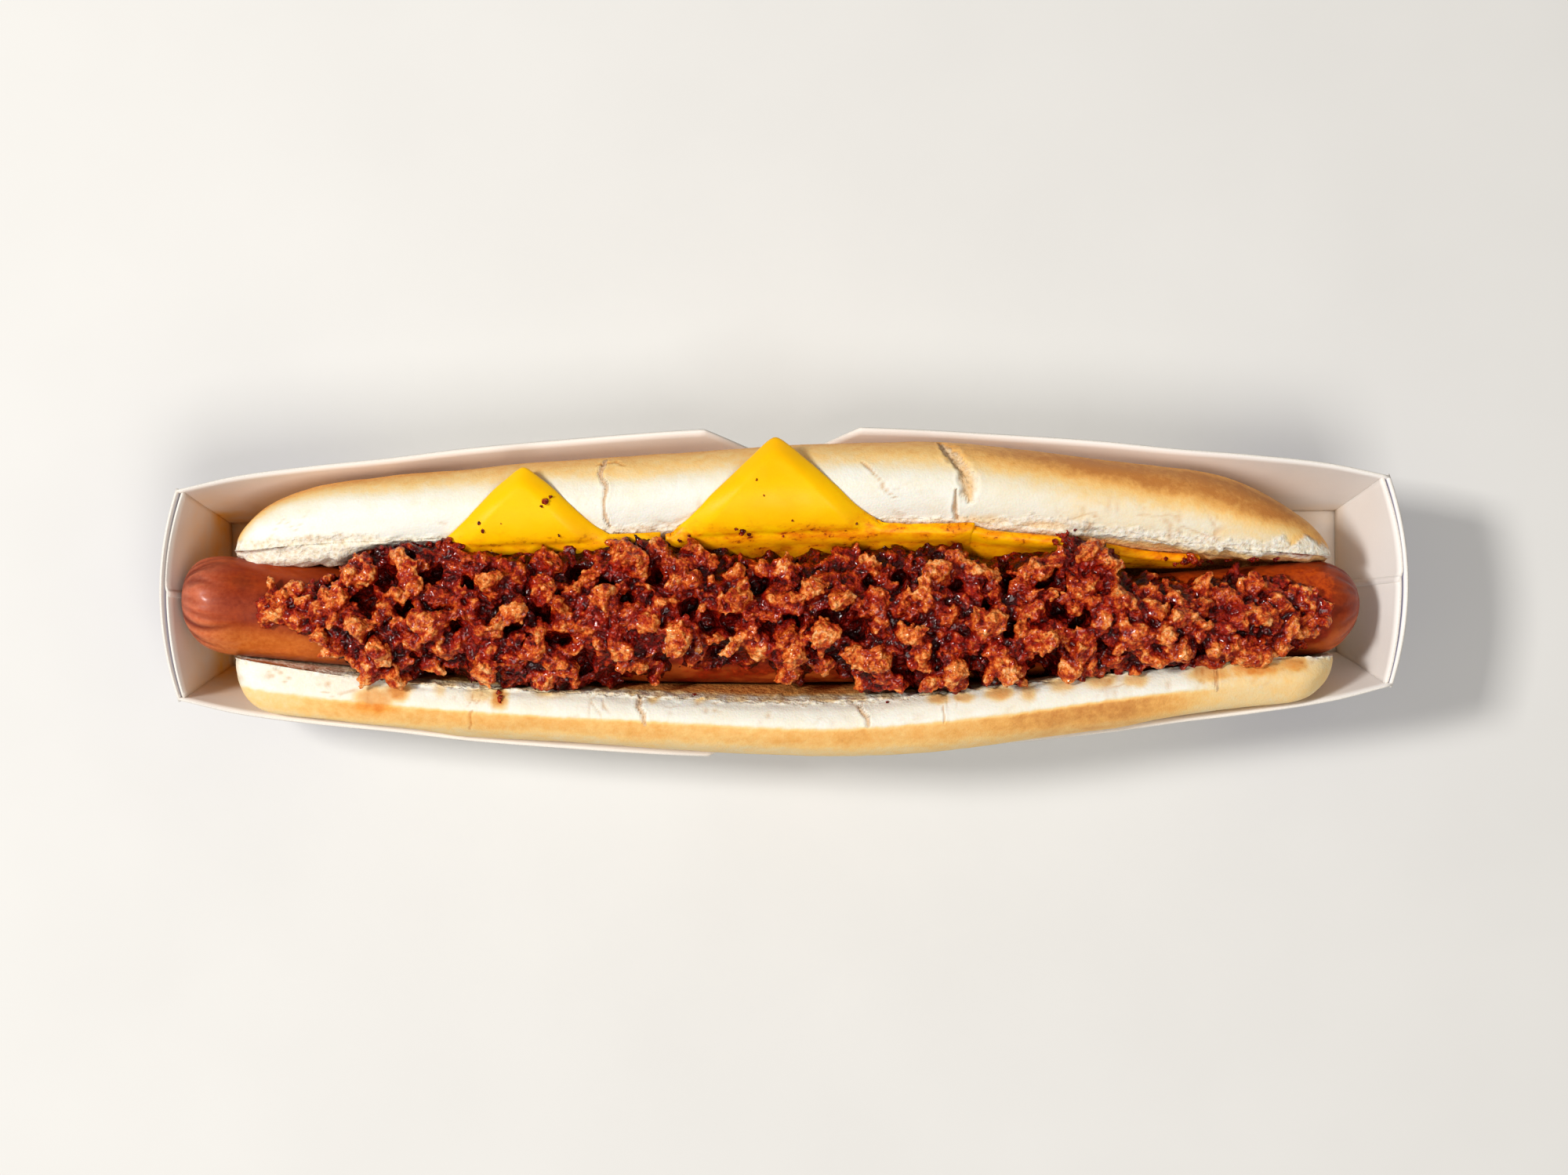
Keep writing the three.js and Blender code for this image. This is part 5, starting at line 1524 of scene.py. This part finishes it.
def make_chili(meat):
    rng = np.random.default_rng(2024)
    cell = 0.38
    clumps = []  # x, y, z, half sizes, yaw, tilt, roll, tint, grain sizes
    for u, v, length, width, turn, tint, extra in MARKED:
        x, y = place(u, v, 52)
        a, b = length * PX_AT_FOOD / 2, width * PX_AT_FOOD / 2
        c = min(0.5 * (a + b), b * 1.15, 4.2)
        z = heap_top(x, y)[0] - 0.5 * c + 0.6 + extra
        clumps.append((x, y, z, a, b, c, math.radians(turn), rng.normal() * 0.12, rng.normal() * 0.2, tint))
    taken = [(x, y, 0.8 * (a + b) / 2) for x, y, z, a, b, *_ in clumps]
    for x, y, r in scatter(rng, 60, lambda g: g.uniform(2.6, 4.0), 0.85, 0.7, [(a, b, c * 1.15) for a, b, c in _hollows] + taken):
        stretch = math.exp(rng.normal() * 0.22)
        c = r * rng.uniform(0.7, 0.95)
        z = heap_top(x, y)[0] - 0.5 * c - 0.4 + 0.5 * rng.normal()
        clumps.append((x, y, z, r * stretch, r / stretch, c, rng.uniform(0, 6.28), rng.normal() * 0.25, rng.normal() * 0.3, float(clamp01(0.5 + 0.22 * rng.normal()))))
    for x, y, r in scatter(rng, 250, lambda g: g.uniform(1.1, 2.4), 0.75, 0.6, [(a, b, c * 1.05) for a, b, c in _hollows]):
        stretch = math.exp(rng.normal() * 0.25)
        z = core_top(x, y)[0] + r * 0.2 + 0.5 * rng.normal()
        clumps.append((x, y, z, r * stretch, r / stretch, r * 0.8, rng.uniform(0, 6.28), rng.normal() * 0.3, rng.normal() * 0.3, float(clamp01(0.42 + 0.24 * rng.normal()))))

    cuts = np.linspace(MEAT_LEFT_X, MEAT_RIGHT_X, 5)
    names = ["chili_left_end", "chili_left", "chili_right", "chili_right_end"]
    meshes = []
    for i, name in enumerate(names):
        x0, x1 = cuts[i], cuts[i + 1]
        Vc, Fc = core_solid(x0, x1)
        C, R, T, B, BR, BT = [], [], [], [], [], []
        for x, y, z, a, b, c, yaw, tilt, roll, tint in clumps:
            if not x0 <= x < x1:
                continue
            body, br, grains, gr = clump_parts(rng, a, b, c)
            M = rotation(yaw, tilt, roll)
            B.append(body @ M.T + (x, y, z))
            BR.append(br)
            BT.append(np.full(len(br), tint))
            C.append(grains @ M.T + (x, y, z))
            R.append(gr)
            T.append(np.clip(tint + 0.10 * rng.normal(size=len(gr)), 0, 1))
        # grains in the sauce itself
        n = int(0.75 * (x1 - x0) * 30 * 0.5)
        gx = rng.uniform(x0, x1, n)
        far, near = meat_edges(gx)
        gy = mix(far, near, rng.random(n))
        g_r = mix(0.4, 1.5, rng.random(n) ** 2.0)
        C.append(np.c_[gx, gy, core_top(gx, gy) + g_r * rng.uniform(-0.3, 0.5, n)])
        R.append(g_r)
        T.append(clamp01(0.32 + 0.2 * rng.normal(size=n)))
        C, R, T, B, BR, BT = (np.concatenate(v) for v in (C, R, T, B, BR, BT))
        V1, F1 = rough_balls(BALL2, C, R, rng, 0.34, 0.45)
        V2, F2 = rough_balls(BALL3, B, BR, rng, 0.2, 0.4)
        V = np.concatenate([Vc, V1, V2])
        F = np.concatenate([Fc, F1 + len(Vc), F2 + len(Vc) + len(V1)])
        # minced meat is torn, not round, so that its shapes are bent out of true
        bend = np.stack([perlin(V / 5.2 + 3.1 * k, 311 + k) for k in range(3)], 1) * (1.7, 1.7, 0.9)
        bend = bend + np.stack([perlin(V / 2.1 + 5.3 * k, 321 + k) for k in range(3)], 1) * 0.65
        V = V + bend * step(0, 6, np.minimum(V[:, 0] - MEAT_LEFT_X, MEAT_RIGHT_X - V[:, 0]))[:, None]
        V, F = remeshed(V, F, cell)
        # sauce softens the joins a little, and the surface is finely rough
        V = mix(V, neighbour_mean(V, F, 1), 0.5)
        nrm = vertex_normals(V, F)
        crumbly = 0.5 - cells(V / 1.35, 303)[0]
        # pebbly on the meat, smoother where sauce fills the hollows
        meaty = 0.25 + 0.75 * step(-5.5, -1.5, V[:, 2] - heap_top(V[:, 0], V[:, 1]))
        V = V + nrm * (meaty * (0.62 * crumbly + 0.18 * perlin(V / 0.9, 301)))[:, None]
        # what faces the sausage or the bread from inside isn't seen
        hid = V[:, 2] < np.maximum(support(V[:, 0], V[:, 1]) - 0.4, 30.5)
        share = hid.mean()
        total = len(F)
        V, F = thinned(V, F, hid, 1 - 0.93 * share)
        meshes.append((V, F, np.concatenate([C, B]), np.concatenate([T, BT]), np.concatenate([R, BR])))

    # the heap's heights, evened out, tell crests from hollows
    step_mm = 0.6
    gx0, gy0, nx, ny = -150.0, -40.0, 500, 130
    H = np.full(nx * ny, -1e9)
    for V, *_ in meshes:
        i = np.clip(((V[:, 0] - gx0) / step_mm).astype(int), 0, nx - 1) * ny + np.clip(((V[:, 1] - gy0) / step_mm).astype(int), 0, ny - 1)
        np.maximum.at(H, i, V[:, 2])
    X, Y = np.meshgrid(gx0 + step_mm * (np.arange(nx) + 0.5), gy0 + step_mm * (np.arange(ny) + 0.5), indexing="ij")
    H = H.reshape(nx, ny)
    H = np.where(H < 0, support(X, Y), H)

    def blurred(A, sigma):
        n = int(3 * sigma / step_mm)
        k = np.exp(-0.5 * (np.arange(-n, n + 1) * step_mm / sigma) ** 2)
        k /= k.sum()
        P = np.pad(A, n, mode="edge")
        P = sum(w * P[j : j + A.shape[0]] for j, w in enumerate(k))
        return sum(w * P[:, j : j + A.shape[1]] for j, w in enumerate(k))

    broad, tight = blurred(H, 4.5), blurred(H, 1.6)

    def look(A, V):
        a = np.clip((V[:, 0] - gx0) / step_mm - 0.5, 0, nx - 1.001)
        b = np.clip((V[:, 1] - gy0) / step_mm - 0.5, 0, ny - 1.001)
        i, j = a.astype(int), b.astype(int)
        s, t = a - i, b - j
        return A[i, j] * (1 - s) * (1 - t) + A[i + 1, j] * s * (1 - t) + A[i, j + 1] * (1 - s) * t + A[i + 1, j + 1] * s * t

    for name, (V, F, C, T, R) in zip(names, meshes):
        tree = KDTree(len(C))
        for j, c in enumerate(C.tolist()):
            tree.insert(c, j)
        tree.balance()
        near = np.array([tree.find(v)[1] for v in V.tolist()])
        dist = np.linalg.norm(V - C[near], axis=1)
        tint = np.where(dist < R[near] * 1.6 + 0.3, T[near], 0.22)
        tint = neighbour_mean(tint, F, 3)
        nrm = vertex_normals(V, F)
        # painted shade in the small hollows, from how concave the skin is
        lap = ((neighbour_mean(V, F, 2) - V) * nrm).sum(1)
        cavity_shade = clamp01(0.3 + neighbour_mean(lap, F, 2) / (0.3 * cell))
        # partly painted shade: what lies lower than the evened-out heap is coloured darker
        rise = clamp01(0.52 + (V[:, 2] - look(broad, V)) / 6.5 + (V[:, 2] - look(tight, V)) / 7.0)
        build(name, V, [F], meat, {"cavity_shade": cavity_shade, "rise": rise, "tint": tint}, replaces=["chili"])

    # loose crumbs beside the heap
    trees = []
    for piece in ("cheese_slice_left", "cheese_slice_middle", "cheese_slice_right", "bun_bread", "frankfurter_casing"):
        P, Q = read_mesh(bpy.data.objects[piece].data)
        trees.append(BVHTree.FromPolygons((P / MM).tolist(), Q.tolist()))
    V, F, T, count = [], [], [], 0
    for u, v, z, size, tint in LOOSE:
        for _ in range(2):
            x, y = place(u, v, z)
            hits = [tree.ray_cast(Vector((x, y, 90.0)), Vector((0, 0, -1)))[0] for tree in trees]
            z = max([h.z for h in hits if h is not None], default=z) + 0.12 * size
        body, br, grains, gr = clump_parts(rng, size, size * rng.uniform(0.6, 0.9), size * 0.6, 0.25 * size, 0.45 * size, 0.4 / max(size, 0.3) ** 2)
        P, Q = rough_balls(BALL2, np.concatenate([body, grains]) @ rotation(rng.uniform(0, 6.28), 0, 0).T + (x, y, z), np.concatenate([br, gr]), rng, 0.24, 0.3)
        V.append(P)
        F.append(Q + count)
        T.append(np.full(len(P), tint))
        count += len(P)
    V, F, T = np.concatenate(V), np.concatenate(F), np.concatenate(T)
    build("chili_crumbs", V, [F], meat, {"cavity_shade": np.full(len(V), 0.3), "rise": np.full(len(V), 0.45), "tint": T}, replaces=["chili"])


# Loose crumbs: middle in the frame, height, half length mm, tint.
LOOSE = [
    (697, 640, 54.9, 1.25, 0.0), (703, 634, 54.9, 0.7, 0.1), (692, 646, 54.5, 0.6, 0.1), (612, 668, 51.9, 0.7, 0.0), (616, 678, 51.2, 0.75, 0.0), (714, 683, 50.4, 0.55, 0.1),
    (976, 632, 55.4, 0.35, 0.1), (967, 612, 55.4, 0.42, 0.1), (948, 677, 51.2, 1.1, 0.0), (956, 681, 50.6, 0.8, 0.0), (940, 675, 51.4, 0.7, 0.1), (636, 892, 49.0, 1.35, 0.45),
    (634, 884, 48.4, 1.0, 0.35), (1012, 664, 51.9, 0.45, 0.1), (880, 684, 50.4, 0.6, 0.1), (868, 690, 49.4, 0.7, 0.1), (640, 668, 51.9, 0.25, 0.1), (1000, 684, 50.6, 0.5, 0.1),
    (1094, 668, 51.6, 0.5, 0.1), (1372, 676, 48.6, 0.8, 0.3), (1350, 682, 48.2, 0.7, 0.3), (884, 886, 46.4, 0.7, 0.3), (1130, 896, 47.6, 0.6, 0.3),
    (474, 702, 47.0, 2.3, 0.4), (492, 699, 47.0, 2.6, 0.35), (512, 696, 47.0, 1.9, 0.3), (530, 696, 47.0, 2.7, 0.45), (549, 693, 47.0, 1.8, 0.3), (566, 694, 47.0, 2.4, 0.4), (588, 698, 47.0, 2.0, 0.35),
    (1357, 687, 47.0, 1.7, 0.3), (1366, 694, 47.0, 2.2, 0.35), (1346, 690, 47.0, 1.2, 0.2), (1362, 680, 47.0, 1.0, 0.3), (1372, 686, 47.0, 1.5, 0.4),
    (1522, 713, 46.0, 1.9, 0.35), (1512, 716, 46.0, 1.6, 0.25), (1531, 716, 46.0, 1.6, 0.3), (1500, 719, 46.0, 1.3, 0.3), (1543, 715, 45.0, 1.3, 0.25),
    (1561, 714, 45.0, 1.1, 0.3), (1584, 713, 45.0, 1.3, 0.3), (1604, 712, 45.0, 0.9, 0.2), (1622, 713, 45.0, 1.1, 0.3), (1488, 714, 46.0, 0.8, 0.2),
]


# ------------------------------------------------------------------------------------------------ the object

make_tray()
make_frank(sausage_material())
make_bun(bread_material())
cheese = cheese_material()
make_slice("cheese_slice_left", -88.0, -31.6, -66.5, 19.0, cheese, "cheese_left", 1)
make_slice("cheese_slice_middle", -30.4, 49.4, -1.8, 24.2, cheese, "cheese_middle", 2)
make_slice("cheese_slice_right", 45.5, 108.8, 78.0, 0.0, cheese, "cheese_right", 3)
make_chili(meat_material())

# ------------------------------------------------------------------------------------------------ floor and light


def floor_material():
    p = Paint("floor")
    c = p.ramp(p.noise(60, 3, 0.5), [(0.3, rgb(217, 215, 211)), (0.7, rgb(220, 218, 214))])
    return p.done(c, None, Roughness=0.75, Specular_IOR_Level=0.2)


bpy.ops.mesh.primitive_plane_add(size=4.0, location=(0, 0, 0))
floor = bpy.context.object
floor.name = "floor"
floor.data.materials.append(floor_material())


def area(name, location, target, size, energy, colour):
    data = bpy.data.lights.new(name, "AREA")
    data.shape = "RECTANGLE"
    data.size, data.size_y = size
    data.energy = energy
    data.color = colour
    ob = bpy.data.objects.new(name, data)
    ob.location = location
    d = np.array(target, float) - np.array(location, float)
    ob.rotation_euler = Vector(d).to_track_quat("-Z", "Y").to_euler()
    scene.collection.objects.link(ob)
    return ob


area("key", (-1.02, 0.28, 1.25), (0, 0, 0), (0.3, 0.3), 22.0, (1.0, 0.985, 0.96))
area("fill", (0.2, -0.62, 1.5), (0, 0, 0), (0.8, 0.8), 12.0, (1.0, 0.985, 0.965))
world = bpy.data.worlds.new("world")
world.use_nodes = True
world.node_tree.nodes["Background"].inputs["Color"].default_value = (1.0, 0.99, 0.975, 1)
world.node_tree.nodes["Background"].inputs["Strength"].default_value = 0.21
scene.world = world
